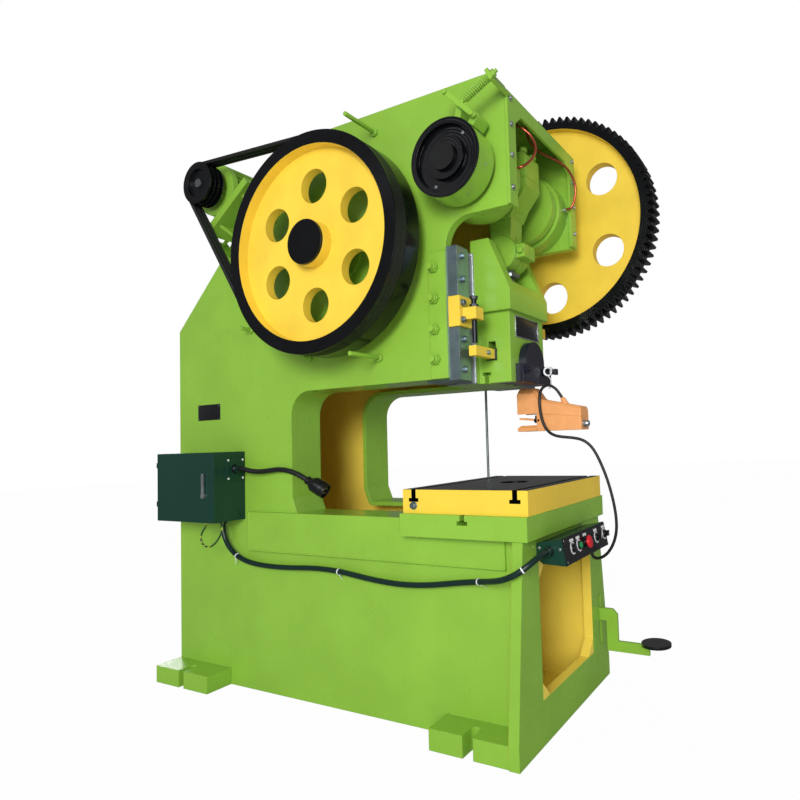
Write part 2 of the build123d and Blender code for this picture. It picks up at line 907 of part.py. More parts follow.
# Ribs that carry the overhanging end of the base plate, and the belt tensioning lug
rib_depth = 120.0
rib_thick = 16.0
with BuildPart() as motor_bracket:
    for along in (base_shift - 100, base_shift + 84):
        y, z = on_slope(along, -base_thick)
        with BuildSketch(Plane(origin=(0, y, z), x_dir=(1, 0, 0), z_dir=slope_plane_dir)):
            with BuildLine():
                Polyline((-frame_half, 0), (base_left + 20, 0), (-frame_half, rib_depth), close=True)
            make_face()
        extrude(amount=rib_thick)
    lug = [on_slope(base_low_end + 40, -60), on_slope(base_low_end + 60, -60)]
    lug += [on_slope(base_low_end + 60, 0), on_slope(base_low_end + 40, 0)]
    side_profile(lug, -frame_half - 62, -frame_half)
    y, z = on_slope(base_low_end, -base_thick / 2)
    rod_on(Plane(origin=(-frame_half - 32, y, z), x_dir=(1, 0, 0), z_dir=slope_plane_dir), 9, 95)
save(motor_bracket, "motor_bracket")

# V-belts round the pulley and the flywheel
belt_fly = fly_radius - belt_depth / 2
belt_pulley = pulley_radius - belt_depth / 2
span_y = motor_y - shaft_y
span_z = motor_z - shaft_z
span = hypot(span_y, span_z)
span_angle = degrees(acos(span_y / span))
wrap = degrees(acos((belt_fly - belt_pulley) / span))
with BuildPart() as v_belts:
    for x in belt_places:
        with BuildLine(Plane.YZ.offset(x)) as loop:
            big = CenterArc((shaft_y, shaft_z), belt_fly, span_angle + wrap, 360 - 2 * wrap)
            small = CenterArc((motor_y, motor_z), belt_pulley, span_angle - wrap, 2 * wrap)
            Line((big @ 1), (small @ 0))
            Line((small @ 1), (big @ 0))
        start = loop.line.edges().filter_by(GeomType.LINE).sort_by(Axis.Z)[-1]
        outward = Vector(0, cos(radians(span_angle + wrap)), sin(radians(span_angle + wrap)))
        section = Plane(origin=start @ 0, x_dir=(1, 0, 0), z_dir=start % 0)
        sign = 1 if section.y_dir.dot(outward) > 0 else -1
        with BuildSketch(section):
            with BuildLine():
                half_low = belt_top / 2 - belt_depth * tan(radians(groove_half_angle))
                Polyline(
                    (-half_low, -sign * belt_depth / 2),
                    (half_low, -sign * belt_depth / 2),
                    (belt_top / 2, sign * belt_depth / 2),
                    (-belt_top / 2, sign * belt_depth / 2),
                    close=True,
                )
            make_face()
        sweep(path=loop.wires()[0])
save(v_belts, "v_belts")

# Crankshaft and brake drum
with BuildPart() as crankshaft:
    steps(
        ram_y,
        crank_z,
        [
            (drum_near - 15, -bush_end, 50),
            (-bush_end, -web_face, journal),
            (-boss_face + gap, -web_face, 85),
            (-web_face, -disc_face, disc_radius),
            (disc_face, web_face, disc_radius),
            (web_face, boss_face - gap, 85),
            (web_face, bush_end, journal),
            (bush_end - 7, gear_near - 51.4, 80),
            (bush_end, gear_far + 15, gear_seat),
            (gear_far + 14.4, gear_far + 27, 82),
        ],
    )
    steps(ram_y, crank_z + throw, [(-disc_face, disc_face, pin)])
save(crankshaft, "crankshaft")

with BuildPart() as brake_drum:
    steps(ram_y, crank_z, [(drum_near, drum_far, drum_radius), (drum_near, drum_near + 6, drum_flange)])
    with BuildSketch(shaft_plane(ram_y, crank_z, drum_near)):
        Circle(drum_flange - 22)
        Circle(78, mode=Mode.SUBTRACT)
    extrude(amount=18, mode=Mode.SUBTRACT)
    steps(ram_y, crank_z, [(drum_near, drum_far, 50)], Mode.SUBTRACT)
save(brake_drum, "brake_drum")

# Band brake: lined band with an anchored lug and a lug that the lever draws tight
lever_low = (ram_y - 110, crank_z + 137)
lever_high = (ram_y, crank_z + 247)
anchored_lug = (ram_y - 43, crank_z + 176)
band_open = 116.5
band_gap = 12.0


def toward(start, end, along):
    # A point beyond the end of a line from one point through another
    run = hypot(end[0] - start[0], end[1] - start[1])
    return (start[0] + (end[0] - start[0]) * along / run, start[1] + (end[1] - start[1]) * along / run)


with BuildPart() as brake_band:
    steps(ram_y, crank_z, [(band_near, drum_far, band_outer)])
    for lug in (lever_low, anchored_lug):
        steps(*lug, [(lug_near, drum_far, 14)])
        foot = toward((ram_y, crank_z), lug, drum_radius + 8)
        middle = ((lug[0] + foot[0]) / 2, (lug[1] + foot[1]) / 2)
        turn = degrees(acos((lug[0] - ram_y) / hypot(lug[0] - ram_y, lug[1] - crank_z)))
        with BuildSketch(shaft_plane(0, 0, lug_near)):
            with Locations(middle):
                Rectangle(hypot(lug[0] - foot[0], lug[1] - foot[1]), 28, rotation=turn)
        extrude(amount=drum_far - lug_near)
    steps(ram_y, crank_z, [(band_near, drum_far, drum_radius + gap)], Mode.SUBTRACT)
    with BuildSketch(shaft_plane(ram_y, crank_z, band_near)):
        with PolarLocations(band_outer, 1, start_angle=band_open):
            Rectangle(120, band_gap)
    extrude(amount=drum_far - band_near, mode=Mode.SUBTRACT)
    steps(*lever_low, [(lug_near, drum_far, pivot + running)], Mode.SUBTRACT)
    steps(*anchored_lug, [(drum_far, -frame_half, pivot)])
save(brake_band, "brake_band")

rod_start = (ram_y - 55, crank_z + 189)
rod_end = (ram_y - 211, crank_z + 266)
rod_run = hypot(rod_end[0] - rod_start[0], rod_end[1] - rod_start[1])
rod_dir = ((rod_end[0] - rod_start[0]) / rod_run, (rod_end[1] - rod_start[1]) / rod_run)


def on_rod(along):
    return (lever_x, rod_start[0] + along * rod_dir[0], rod_start[1] + along * rod_dir[1])


rod_z = (0, rod_dir[0], rod_dir[1])
anchor_at = 138.0
anchor_half = 22.0
anchor_left = lever_x - 15.0
with BuildPart() as brake_anchor:
    rod_on(Plane(origin=on_rod(6), x_dir=(1, 0, 0), z_dir=rod_z), 7, rod_run - 6)
    anchor_plane = Plane(origin=on_rod(anchor_at), x_dir=(1, 0, 0), z_dir=rod_z)
    anchor_right = -frame_half - lever_x
    corners = [
        (anchor_left - lever_x, -anchor_half),
        (anchor_right, -anchor_half),
        (anchor_right, anchor_half),
        (anchor_left - lever_x, anchor_half),
    ]
    prism(anchor_plane, corners, 14)
    hexagon_on(Plane(origin=on_rod(anchor_at + 14), x_dir=(1, 0, 0), z_dir=rod_z), 24, 12)
    lever_run = hypot(lever_high[0] - lever_low[0], lever_high[1] - lever_low[1])
    lever_dir = (0, (lever_high[0] - lever_low[0]) / lever_run, (lever_high[1] - lever_low[1]) / lever_run)
    lever_face = lever_x - lever_thick / 2
    with BuildSketch(Plane(origin=(lever_face, *lever_low), x_dir=lever_dir, z_dir=(1, 0, 0))):
        with Locations((lever_run / 2, 0)):
            SlotOverall(lever_run + 26, 20)
    extrude(amount=lever_thick)
    steps(*lever_low, [(lever_face - 8, drum_far, pivot)])
    steps(*lever_high, [(lever_face - 8, -frame_half, pivot)])
save(brake_anchor, "brake_anchor")

spring_turns = 6
spring_wire = 3.5
spring_radius = 15.0
spring_start = 22.0
spring_length = anchor_at - spring_start - 2 * spring_wire - 2
with BuildPart() as brake_spring:
    spring_origin = on_rod(spring_start + spring_wire)
    with BuildLine() as coil:
        Helix(spring_length / spring_turns, spring_length, spring_radius, center=spring_origin, direction=rod_z)
    with BuildSketch(Plane(origin=coil.line @ 0, z_dir=coil.line % 0)):
        RegularPolygon(spring_wire, 6)
    sweep(is_frenet=True)
save(brake_spring, "brake_spring")

# Connecting rod, its cap and bolts, and the ball screw
end_half = 132.0
cap_top = pin_z + 108.0
bolt_foot = pin_z - 32.0
fork_low = pin_z - 151.0
rod_bolt_head = 34.0
rod_bolt_x = rod_half - 1 - rod_bolt_head / sqrt(3)
rod_bolt_y = 110.0
shank_half = 45.0
pinch_bolt = 90.0
pinch_reach = 106.0
with BuildPart() as con_rod:
    big_end = [
        (ram_y - end_half, pin_z),
        (ram_y - end_half, pin_z - 38),
        (ram_y - 80, pin_z - 100),
        (ram_y - shank_half - 6, fork_low),
        (ram_y + shank_half + 6, fork_low),
        (ram_y + 80, pin_z - 100),
        (ram_y + end_half, pin_z - 38),
        (ram_y + end_half, pin_z),
    ]
    side_profile(big_end, -rod_half, rod_half)
    shank_outline = [
        (ram_y - shank_half - 6, fork_low + 1),
        (ram_y - shank_half, clamp_z + 40),
        (ram_y + shank_half, clamp_z + 40),
        (ram_y + shank_half + 6, fork_low + 1),
    ]
    side_profile(shank_outline, -50, 50)
    steps(ram_y, clamp_z, [(-clamp_half, clamp_half, clamp_radius)])
    block((-50, ram_y - pinch_reach, clamp_z - 28), (50, ram_y - 40, clamp_z + 28))
    block((-2, ram_y - pinch_reach - 1, clamp_z - 80), (2, ram_y - 20, clamp_z + 80), Mode.SUBTRACT)
    steps(ram_y, pin_z, [(-rod_half, rod_half, pin + running)], Mode.SUBTRACT)
    rod_on(Plane((0, ram_y, clamp_z - clamp_radius - 1)), screw_radius, 140, Mode.SUBTRACT)
    for x in (-rod_bolt_x, rod_bolt_x):
        for y in (ram_y - rod_bolt_y, ram_y + rod_bolt_y):
            rod_on(Plane((x, y, bolt_foot)), 11, pin_z - bolt_foot, Mode.SUBTRACT)
    rod_on(shaft_plane(ram_y - pinch_bolt, clamp_z, -50), 9, 100, Mode.SUBTRACT)
save(con_rod, "con_rod")

with BuildPart() as con_rod_cap:
    cap_outline = [
        (ram_y - end_half, pin_z),
        (ram_y - end_half, cap_top - 14),
        (ram_y - end_half + 14, cap_top),
        (ram_y + end_half - 14, cap_top),
        (ram_y + end_half, cap_top - 14),
        (ram_y + end_half, pin_z),
    ]
    side_profile(cap_outline, -rod_half, rod_half)
    steps(ram_y, pin_z, [(-rod_half, rod_half, pin + running)], Mode.SUBTRACT)
    for x in (-rod_bolt_x, rod_bolt_x):
        for y in (ram_y - rod_bolt_y, ram_y + rod_bolt_y):
            rod_on(Plane((x, y, pin_z)), 11, cap_top - pin_z, Mode.SUBTRACT)
save(con_rod_cap, "con_rod_cap")

with BuildPart() as rod_bolts:
    for x in (-rod_bolt_x, rod_bolt_x):
        for y in (ram_y - rod_bolt_y, ram_y + rod_bolt_y):
            rod_on(Plane((x, y, bolt_foot)), 11, cap_top - bolt_foot)
            hexagon_on(Plane((x, y, cap_top)), rod_bolt_head, 18)
    rod_on(shaft_plane(ram_y - pinch_bolt, clamp_z, -50), 9, 100)
    with BuildSketch(shaft_plane(ram_y - pinch_bolt, clamp_z, 50)):
        RegularPolygon(13, 6, major_radius=False)
    extrude(amount=14)
    with BuildSketch(shaft_plane(ram_y - pinch_bolt, clamp_z, -50)):
        RegularPolygon(13, 6, major_radius=False)
    extrude(amount=-12)
save(rod_bolts, "rod_bolts")

with BuildPart() as ball_screw:
    with BuildSketch(Plane(origin=(0, ram_y, ball_z), x_dir=(1, 0, 0), z_dir=(0, -1, 0))):
        with BuildLine():
            neck_height = sqrt(ball**2 - neck**2)
            edge = clamp_z - clamp_radius - 4 - ball_z
            ThreePointArc((0, -ball), (ball * cos(radians(20)), -ball * sin(radians(20))), (neck, neck_height))
            Polyline(
                (neck, neck_height),
                (neck, 105),
                (38, 105),
                (38, edge),
                (screw_radius, edge),
                (screw_radius, 262),
                (0, 262),
                (0, -ball),
            )
        make_face()
    revolve(axis=Axis((0, ram_y, ball_z), (0, 0, 1)))
save(ball_screw, "ball_screw")

# Slide with V guides, open top pocket, ball chamber, knock-out slot and shank bore
bar_slot_low = bar_low - 0.3
die_slot_y = -672.0
with BuildPart() as slide:
    guide = [
        (-guide_half, guide_rear),
        (-guide_half, vee_y + vee_mouth),
        (-vee_tip, vee_y + vee_half_flat),
        (-vee_tip, vee_y - vee_half_flat),
        (-guide_half, vee_y - vee_mouth),
        (-guide_half, guide_front),
        (guide_half, guide_front),
        (guide_half, vee_y - vee_mouth),
        (vee_tip, vee_y - vee_half_flat),
        (vee_tip, vee_y + vee_half_flat),
        (guide_half, vee_y + vee_mouth),
        (guide_half, guide_rear),
    ]
    plan_profile(guide, slide_low, guide_top)
    block((-slide_half, slide_front, slide_low), (slide_half, guide_front, box_low))
    cheek_profile = [
        (guide_rear, box_low),
        (guide_rear, guide_top),
        (-626, guide_top),
        (-626, slide_top),
        (-709, slide_top),
        (box_front, box_step),
        (box_front, box_low),
    ]
    side_profile(cheek_profile, -box_half, box_half)
    pocket_top = slide_top + 1
    block((-cheek_inner, box_front - 1, pocket_floor), (cheek_inner, guide_rear + 1, pocket_top), Mode.SUBTRACT)
    chamber = ball + 6
    chamber_low = ball_z - ball - ball_room
    with BuildSketch(Plane.XY.offset(chamber_low)):
        with Locations((0, ram_y + throw / 2)):
            SlotOverall(throw + 2 * chamber + 8, 2 * chamber, rotation=90)
    extrude(amount=2 * (ball + ball_room), mode=Mode.SUBTRACT)
    with BuildSketch(Plane.XY.offset(ball_z)):
        with Locations((0, ram_y + throw / 2)):
            SlotOverall(throw + 2 * (neck + 4) + 6, 2 * (neck + 4), rotation=90)
    extrude(amount=pocket_floor - ball_z, mode=Mode.SUBTRACT)
    block(
        (-slide_half, ram_y - bar_thick / 2 - gap, bar_slot_low),
        (slide_half, ram_y + bar_thick / 2 + gap, bar_slot_high),
        Mode.SUBTRACT,
    )
    block((clamp_left - gap, slide_front, slide_low), (clamp_right, ram_y, clamp_base_top), Mode.SUBTRACT)
    for side in (-1, 1):
        for low, high, half in ((0, 30, 9), (30, 43, 18)):
            left, right = sorted((side * (slide_half - 36), side * slide_half))
            near, far = die_slot_y - half, die_slot_y + half
            block((left, near, slide_low + low), (right, far, slide_low + high), Mode.SUBTRACT)
    rod_on(Plane((0, ram_y, slide_low)), shank, clamp_base_top - slide_low, Mode.SUBTRACT)
    rod_on(Plane((0, ram_y, clamp_base_top)), 10, bar_slot_low - clamp_base_top, Mode.SUBTRACT)
    for x in (-stud_x, stud_x):
        rod_on(Plane((x, ram_y, stud_z), x_dir=(1, 0, 0), z_dir=(0, 1, 0)), 10, 60, Mode.SUBTRACT)
save(slide, "slide")

# Shank clamp: L-shaped block with an arched lug, its studs, nuts and square-headed screw
with BuildPart() as shank_clamp:
    side_lug = [
        (slide_front, slide_low),
        (slide_front, clamp_base_top),
        (clamp_front, clamp_base_top),
        (clamp_front, slide_low),
    ]
    side_profile(side_lug, clamp_left, clamp_right)
    block((clamp_left, slide_front, slide_low), (clamp_right, ram_y - split_gap, clamp_base_top - 0.5))
    arch_centre = clamp_arch_top - clamp_arch
    with BuildSketch(Plane.XZ.offset(-slide_front)):
        with Locations((0, arch_centre)):
            Circle(clamp_arch)
        with Locations((0, (slide_low + arch_centre) / 2)):
            Rectangle(2 * clamp_arch, arch_centre - slide_low)
    extrude(amount=slide_front - clamp_front)
    rod_on(Plane((0, ram_y, slide_low)), shank, clamp_base_top - slide_low, Mode.SUBTRACT)
    for x, reach in ((-stud_x, 24), (stud_x, 43)):
        start = Plane((x, ram_y + 58, stud_z), x_dir=(1, 0, 0), z_dir=(0, -1, 0))
        rod_on(start, 10, ram_y + 58 - clamp_front + reach)
        hexagon_on(Plane((x, clamp_front, stud_z), x_dir=(1, 0, 0), z_dir=(0, -1, 0)), 30, 16)
    block((stud_x - 12, clamp_front - 55, stud_z - 12), (stud_x + 12, clamp_front - 43, stud_z + 12))
save(shank_clamp, "shank_clamp")

with BuildPart() as knockout_bar:
    block((-bar_half, ram_y - bar_thick / 2, bar_low), (bar_half, ram_y + bar_thick / 2, bar_high))
    for side in (-1, 1):
        left, right = sorted((side * (slide_half + gap), side * (slide_half + 8)))
        block((left, ram_y - 22, bar_low - 4), (right, ram_y + 22, bar_high + 4))
save(knockout_bar, "knockout_bar")

# Cabinet: sheet box open on its outer side, with a return lip, on stand-off bosses
box_face = -cabinet_outer + door_depth + 0.5
with BuildPart() as cabinet_box:
    block((box_face, cabinet_front, cabinet_low), (-frame_half, cabinet_rear, cabinet_high))
    block(
        (box_face + sheet, cabinet_front + sheet, cabinet_low + sheet),
        (-frame_half - sheet, cabinet_rear - sheet, cabinet_high - sheet),
        Mode.SUBTRACT,
    )
    block(
        (box_face, cabinet_front + 16, cabinet_low + 16),
        (box_face + sheet, cabinet_rear - 16, cabinet_high - 16),
        Mode.SUBTRACT,
    )
    socket_low = cabinet_high - 128.0
    socket_x = -frame_half - 52.0
    block((socket_x - 46, cabinet_front - 4, socket_low), (socket_x + 46, cabinet_front, socket_low + 100))
    rod_on(Plane((socket_x, cabinet_front - 4, socket_low + 51), x_dir=(1, 0, 0), z_dir=(0, -1, 0)), 17, 22)
    rod_on(Plane((-frame_half - 28, 640, cabinet_low), x_dir=(1, 0, 0), z_dir=(0, 0, -1)), 17, 20)
    hinge_y = cabinet_rear + 7
    for low in (cabinet_low + 40, cabinet_high - 90):
        rod_on(Plane((box_face, hinge_y, low)), 6.5, 24)
        block((box_face, cabinet_rear, low), (box_face + 12, hinge_y, low + 24))
        rod_on(Plane((box_face, hinge_y, low)), 3.5, 50)
save(cabinet_box, "cabinet_box")

with BuildPart() as cabinet_door:
    block((-cabinet_outer, cabinet_front, cabinet_low), (box_face - 0.5, cabinet_rear, cabinet_high))
    block(
        (-cabinet_outer + sheet, cabinet_front + sheet, cabinet_low + sheet),
        (box_face - 0.5, cabinet_rear - sheet, cabinet_high - sheet),
        Mode.SUBTRACT,
    )
    for low in (cabinet_low + 40, cabinet_high - 90):
        block((-cabinet_outer, cabinet_rear - sheet, low + 24.5), (box_face - 4, hinge_y, low + 48))
        rod_on(Plane((box_face, hinge_y, low + 24.5)), 6.5, 23.5)
        rod_on(Plane((box_face, hinge_y, low + 24.5)), 3.5 + running, 23.5, Mode.SUBTRACT)
    latch_y = 588.0
    latch_z = cabinet_low + 117.0
    rod_on(shaft_plane(latch_y, latch_z, -cabinet_outer), 5 + running, sheet, Mode.SUBTRACT)
save(cabinet_door, "cabinet_door")

with BuildPart() as cabinet_latch:
    block((-cabinet_outer - 12, latch_y - 6, latch_z), (-cabinet_outer - 4, latch_y + 6, latch_z + 98))
    rod_on(shaft_plane(latch_y, latch_z, -cabinet_outer - 12), 11, 11.6)
    rod_on(shaft_plane(latch_y, latch_z, -cabinet_outer - 1), 5, 22)
    block((-cabinet_outer + 18, latch_y - 6, latch_z - 6), (-cabinet_outer + 21, latch_y + 6, latch_z + 54))
save(cabinet_latch, "cabinet_latch")

with BuildPart() as cabinet_components:
    back = -frame_half - sheet
    block((back - 3, cabinet_front + 20, cabinet_low + 20), (back, cabinet_rear - 20, cabinet_high - 20))
    tall = cabinet_high - cabinet_low
    for y in (66, 156, 246):
        low, high = cabinet_low + 0.57 * tall, cabinet_low + 0.83 * tall
        block((back - 75, cabinet_front + y, low), (back - 3, cabinet_front + y + 60, high))
    for y in (46, 96, 146, 196):
        low, high = cabinet_low + 0.245 * tall, cabinet_low + 0.44 * tall
        block((back - 60, cabinet_front + y, low), (back - 3, cabinet_front + y + 36, high))
    low, high = cabinet_low + 0.114 * tall, cabinet_low + 0.166 * tall
    block((back - 40, cabinet_front + 36, low), (back - 3, cabinet_rear - 42, high))
save(cabinet_components, "cabinet_components")

# Control box under the table's front edge, with its sloping panel
panel_top = (-1015.0, bed_height - 1)
panel_foot = (-1033.0, bed_height - 95)
control_section = [
    (front_face, bed_height - 20),
    panel_top,
    panel_foot,
    (-944, bed_height - 92),
    (front_face, bed_height - 74),
]
inner_section = [
    (front_face - sheet, bed_height - 22.5),
    (panel_top[0] + 1.6, panel_top[1] - 2.6),
    (panel_foot[0] + 2.4, panel_foot[1] + sheet),
    (-944.6, bed_height - 90),
    (front_face - sheet, bed_height - 72.4),
]
panel_run = hypot(panel_top[0] - panel_foot[0], panel_top[1] - panel_foot[1])
panel_up = ((panel_top[0] - panel_foot[0]) / panel_run, (panel_top[1] - panel_foot[1]) / panel_run)
panel_out = (0, -panel_up[1], panel_up[0])
panel_x = (control_left + control_right) / 2
panel_mid = (panel_x, (panel_top[0] + panel_foot[0]) / 2, (panel_top[1] + panel_foot[1]) / 2)
panel_plane = Plane(origin=panel_mid, x_dir=(1, 0, 0), z_dir=panel_out)
gland_y = -968.0
gland_z = bed_height - 46.0
cord_x = 110.0
cord_y = -985.0
with BuildPart() as control_box:
    side_profile(control_section, control_left, control_right)
    side_profile(inner_section, control_left + sheet, control_right - sheet, Mode.SUBTRACT)
    with BuildSketch(panel_plane):
        Rectangle(control_right - control_left - 30, panel_run - 18)
    extrude(amount=-6, mode=Mode.SUBTRACT)
    rod_on(shaft_plane(gland_y, gland_z, control_left), 17, -20)
    rod_on(Plane((cord_x, cord_y, bed_height - 93.5), x_dir=(1, 0, 0), z_dir=(0, 0, -1)), 11, 24)
save(control_box, "control_box")

button_places = {"button_black": -190.0, "button_green": -130.0, "button_red": -60.0}
selector_places = {"selector_left": 55.0, "selector_right": 145.0}
control_lift = 2.0
bezel = 8.0
red_bezel = 5.0
stem = 8.0
with BuildPart() as control_panel:
    with BuildSketch(panel_plane):
        Rectangle(control_right - control_left - 12, panel_run - 6)
    extrude(amount=panel_thick)
    for place in (*button_places.values(), *selector_places.values()):
        ring = panel_plane.offset(panel_thick)
        with BuildSketch(ring):
            with Locations((place - panel_x, control_lift)):
                Circle(15.5)
        extrude(amount=red_bezel if place == button_places["button_red"] else bezel)
        with BuildSketch(ring):
            with Locations((place - panel_x, control_lift)):
                Circle(11.5)
        extrude(amount=bezel, mode=Mode.SUBTRACT)
        with BuildSketch(panel_plane):
            with Locations((place - panel_x, control_lift)):
                Circle(stem + (running if place in selector_places.values() else gap))
        extrude(amount=panel_thick, mode=Mode.SUBTRACT)
save(control_panel, "control_panel")


def control_knob(place, layers):
    # Discs stacked along the panel's outward direction, as (start, end, radius)
    with BuildPart() as piece:
        for start, end, radius in layers:
            with BuildSketch(panel_plane.offset(start)):
                with Locations((place - panel_x, control_lift)):
                    Circle(radius)
            extrude(amount=end - start)
    return piece


for name, place in button_places.items():
    if name == "button_red":
        layers = [(-8, 13, stem), (13, 22, 19)]
    else:
        layers = [(-8, 8, stem), (8, 14, 11)]
    button = control_knob(place, layers)
    save(button, name)

for name, place in selector_places.items():
    with BuildPart() as selector:
        for start, end, radius in ((-8, panel_thick + gap, stem), (panel_thick + gap, 14, 11)):
            with BuildSketch(panel_plane.offset(start)):
                with Locations((place - panel_x, control_lift)):
                    Circle(radius)
            extrude(amount=end - start)
        with BuildSketch(panel_plane.offset(14)):
            with Locations((place - panel_x, control_lift)):
                SlotOverall(24, 7, rotation=60)
        extrude(amount=12)
    save(selector, name)

# Pedal lever with its round pad, and the pull rod
with BuildPart() as pedal_lever:
    lever_outline = [
        (-238, 262),
        (-238, 324),
        (-360, 330),
        (-420, 330),
        (-980, 320),
        (-1001, 298),
        (-1001, 184),
        (-1137, 184),
        (-1137, 139),
        (-950, 139),
        (-950, 267),
    ]
    side_profile(lever_outline, pedal_x, pedal_x + pedal_plate)
    pad_plane = Plane((pedal_x + pedal_plate / 2, pad_y, 184))
    rod_on(pad_plane, pad_radius, 12)
    block((pedal_x - 12, -1137, 172), (pedal_x + pedal_plate + 12, -1110, 184))
    hinge_hole = shaft_plane(pedal_pivot_y, pedal_pivot_z, pedal_x)
    rod_on(hinge_hole, pedal_pin + running, pedal_plate, Mode.SUBTRACT)
    with BuildSketch(shaft_plane(rod_y, 310, pedal_x)):
        SlotOverall(24, 13)
    extrude(amount=pedal_plate, mode=Mode.SUBTRACT)
save(pedal_lever, "pedal_lever")

with BuildPart() as pull_rod:
    rod_on(Plane((pull_x, rod_y, 330)), pull_radius, pull_top - 330)
    block((frame_half + 11, rod_y - 14, 296), (pedal_x - 0.6, rod_y + 14, 342))
    rod_on(shaft_plane(rod_y, 310, frame_half + 12), 6, 26)
    pawl = [
        (rod_y + 12, pull_top - 40),
        (rod_y + 12, pull_top + 10),
        (-560, crank_z + 46),
        (-604, crank_z + 26),
        (-604, crank_z - 2),
    ]
    side_profile(pawl, frame_half + 12.6, frame_half + 22.6)
save(pull_rod, "pull_rod")

# Foot switch: base and body with a hood, and its pedal
tread_hinge = (-797.0, switch_low + 44.0)
tread_pin = 5.0
with BuildPart() as foot_switch_base:
    body_outline = [
        (switch_front, switch_low),
        (switch_front, switch_low + 94),
        (-805, switch_low + 134),
        (-790, switch_low + 164),
        (-772, switch_low + 182),
        (switch_rear - 6, switch_low + 184),
        (switch_rear, switch_low + 178),
        (switch_rear, switch_low),
    ]
    side_profile(body_outline, switch_left, switch_right)
    hollow = [
        (-804, switch_low + 12),
        (-804, switch_low + 120),
        (-784, switch_low + 158),
        (-768, switch_low + 176),
        (switch_rear + 1, switch_low + 176),
        (switch_rear + 1, switch_low + 12),
    ]
    side_profile(hollow, switch_left + switch_wall, switch_right - switch_wall, Mode.SUBTRACT)
    block(
        (switch_left, -788, switch_low + 12),
        (switch_right, switch_rear, switch_low + 72),
        Mode.SUBTRACT,
    )
    rod_on(shaft_plane(*tread_hinge, switch_left), tread_pin + running, switch_right - switch_left, Mode.SUBTRACT)
    gland_origin = (hook_x, -905, switch_low + 106)
    gland_dir = Vector(0, sin(radians(30)), cos(radians(30)))
    rod_on(Plane(origin=gland_origin, x_dir=(1, 0, 0), z_dir=gland_dir), 10, 32)
save(foot_switch_base, "foot_switch_base")

with BuildPart() as foot_switch_pedal:
    left, right = switch_left + 8, switch_right - 8
    tread = [(-797, switch_low + 40), (-797, switch_low + 48), (-706, switch_low + 58), (-706, switch_low + 50)]
    side_profile(tread, left, right)
    rod_on(shaft_plane(*tread_hinge, switch_left), tread_pin, switch_right - switch_left)
save(foot_switch_pedal, "foot_switch_pedal")

# Lines. Each route is a list of points chosen along the real run.
cable = 11.0
power_lead_route = [
    (-374, 498, 985),
    (-374, 478, 985),
    (-371, 452, 980),
    (-362, 425, 972),
    (-350, 380, 970),
    (-344, 330, 975),
    (-342, 280, 979),
    (-338, 232, 974),
    (-326, 186, 958),
    (-312, 146, 932),
]
power_lead = tube(power_lead_route, cable)
save(power_lead, "power_lead")

plug_start = Vector(*power_lead_route[-1])
plug_dir = (plug_start - Vector(*power_lead_route[-2])).normalized()
with BuildPart() as power_plug:
    with BuildSketch(Plane(origin=plug_start, z_dir=plug_dir)):
        Circle(17)
    with BuildSketch(Plane(origin=plug_start + plug_dir * 40, z_dir=plug_dir)):
        Circle(34)
    loft()
    rod_on(Plane(origin=plug_start + plug_dir * 40, z_dir=plug_dir), 34, 62)
save(power_plug, "power_plug")

conduit_route = [
    (-350, 640, cabinet_low - 20),
    (-350, 640, 700),
    (-350, 622, 655),
    (-349, 588, 616),
    (-348, 545, 588),
    (-347, 492, 571),
    (-346, 436, 562),
    (-346, 376, 558),
    (-346, 312, 557),
    (-346, 248, 558),
    (-346, 184, 561),
    (-346, 120, 565),
    (-346, 56, 567),
    (-346, -8, 566),
    (-346, -72, 562),
    (-346, -136, 555),
    (-346, -200, 547),
    (-346, -264, 541),
    (-346, -328, 537),
    (-346, -392, 536),
    (-346, -456, 539),
    (-346, -520, 545),
    (-346, -584, 554),
    (-348, -648, 564),
    (-355, -710, 573),
    (-372, -768, 582),
    (-396, -818, 592),
    (-414, -868, 606),
    (-417, -916, 628),
    (-400, -950, 654),
    (-366, -967, 673),
    (-326, -968, 680),
    (control_left - 20, -968, 680),
]
conduit = tube(conduit_route, cable)
save(conduit, "conduit")

earth_route = [
    (-430, 640, cabinet_low),
    (-430, 640, 742),
    (-431, 654, 724),
    (-432, 672, 706),
    (-434, 682, 678),
    (-434, 668, 650),
    (-432, 638, 638),
    (-430, 604, 646),
    (-430, 572, 670),
    (-430, 548, 700),
    (-430, 537, 730),
    (-430, 537, cabinet_low),
]
earth_wire = tube(earth_route, 4.0)
save(earth_wire, "earth_wire")

cord = 6.0
gland_end = Vector(*gland_origin) + gland_dir * 32
gland_next = gland_end + gland_dir * 18
foot_cord_route = [
    (gland_end.X, gland_end.Y, gland_end.Z),
    (gland_next.X, gland_next.Y, gland_next.Z),
    (86, -862, 1282),
    (72, -838, 1298),
    (50, -818, 1286),
    (34, -812, 1256),
    (29, -812, 1220),
    (28, -816, 1182),
    (28, -824, 1144),
    (32, -840, 1108),
    (48, -862, 1086),
    (66, -896, 1078),
    (78, -936, 1074),
    (86, -976, 1064),
    (90, -1008, 1038),
    (93, -1030, 1000),
    (96, -1049, 955),
    (99, -1066, 905),
    (102, -1080, 850),
    (105, -1090, 795),
    (107, -1095, 742),
    (109, -1092, 692),
    (110, -1078, 648),
    (110, -1054, 610),
    (110, -1024, 588),
    (110, -998, 585),
    (110, -985, 598),
    (110, -985, 608.5),
]
foot_switch_cord = tube(foot_cord_route, cord)
save(foot_switch_cord, "foot_switch_cord")

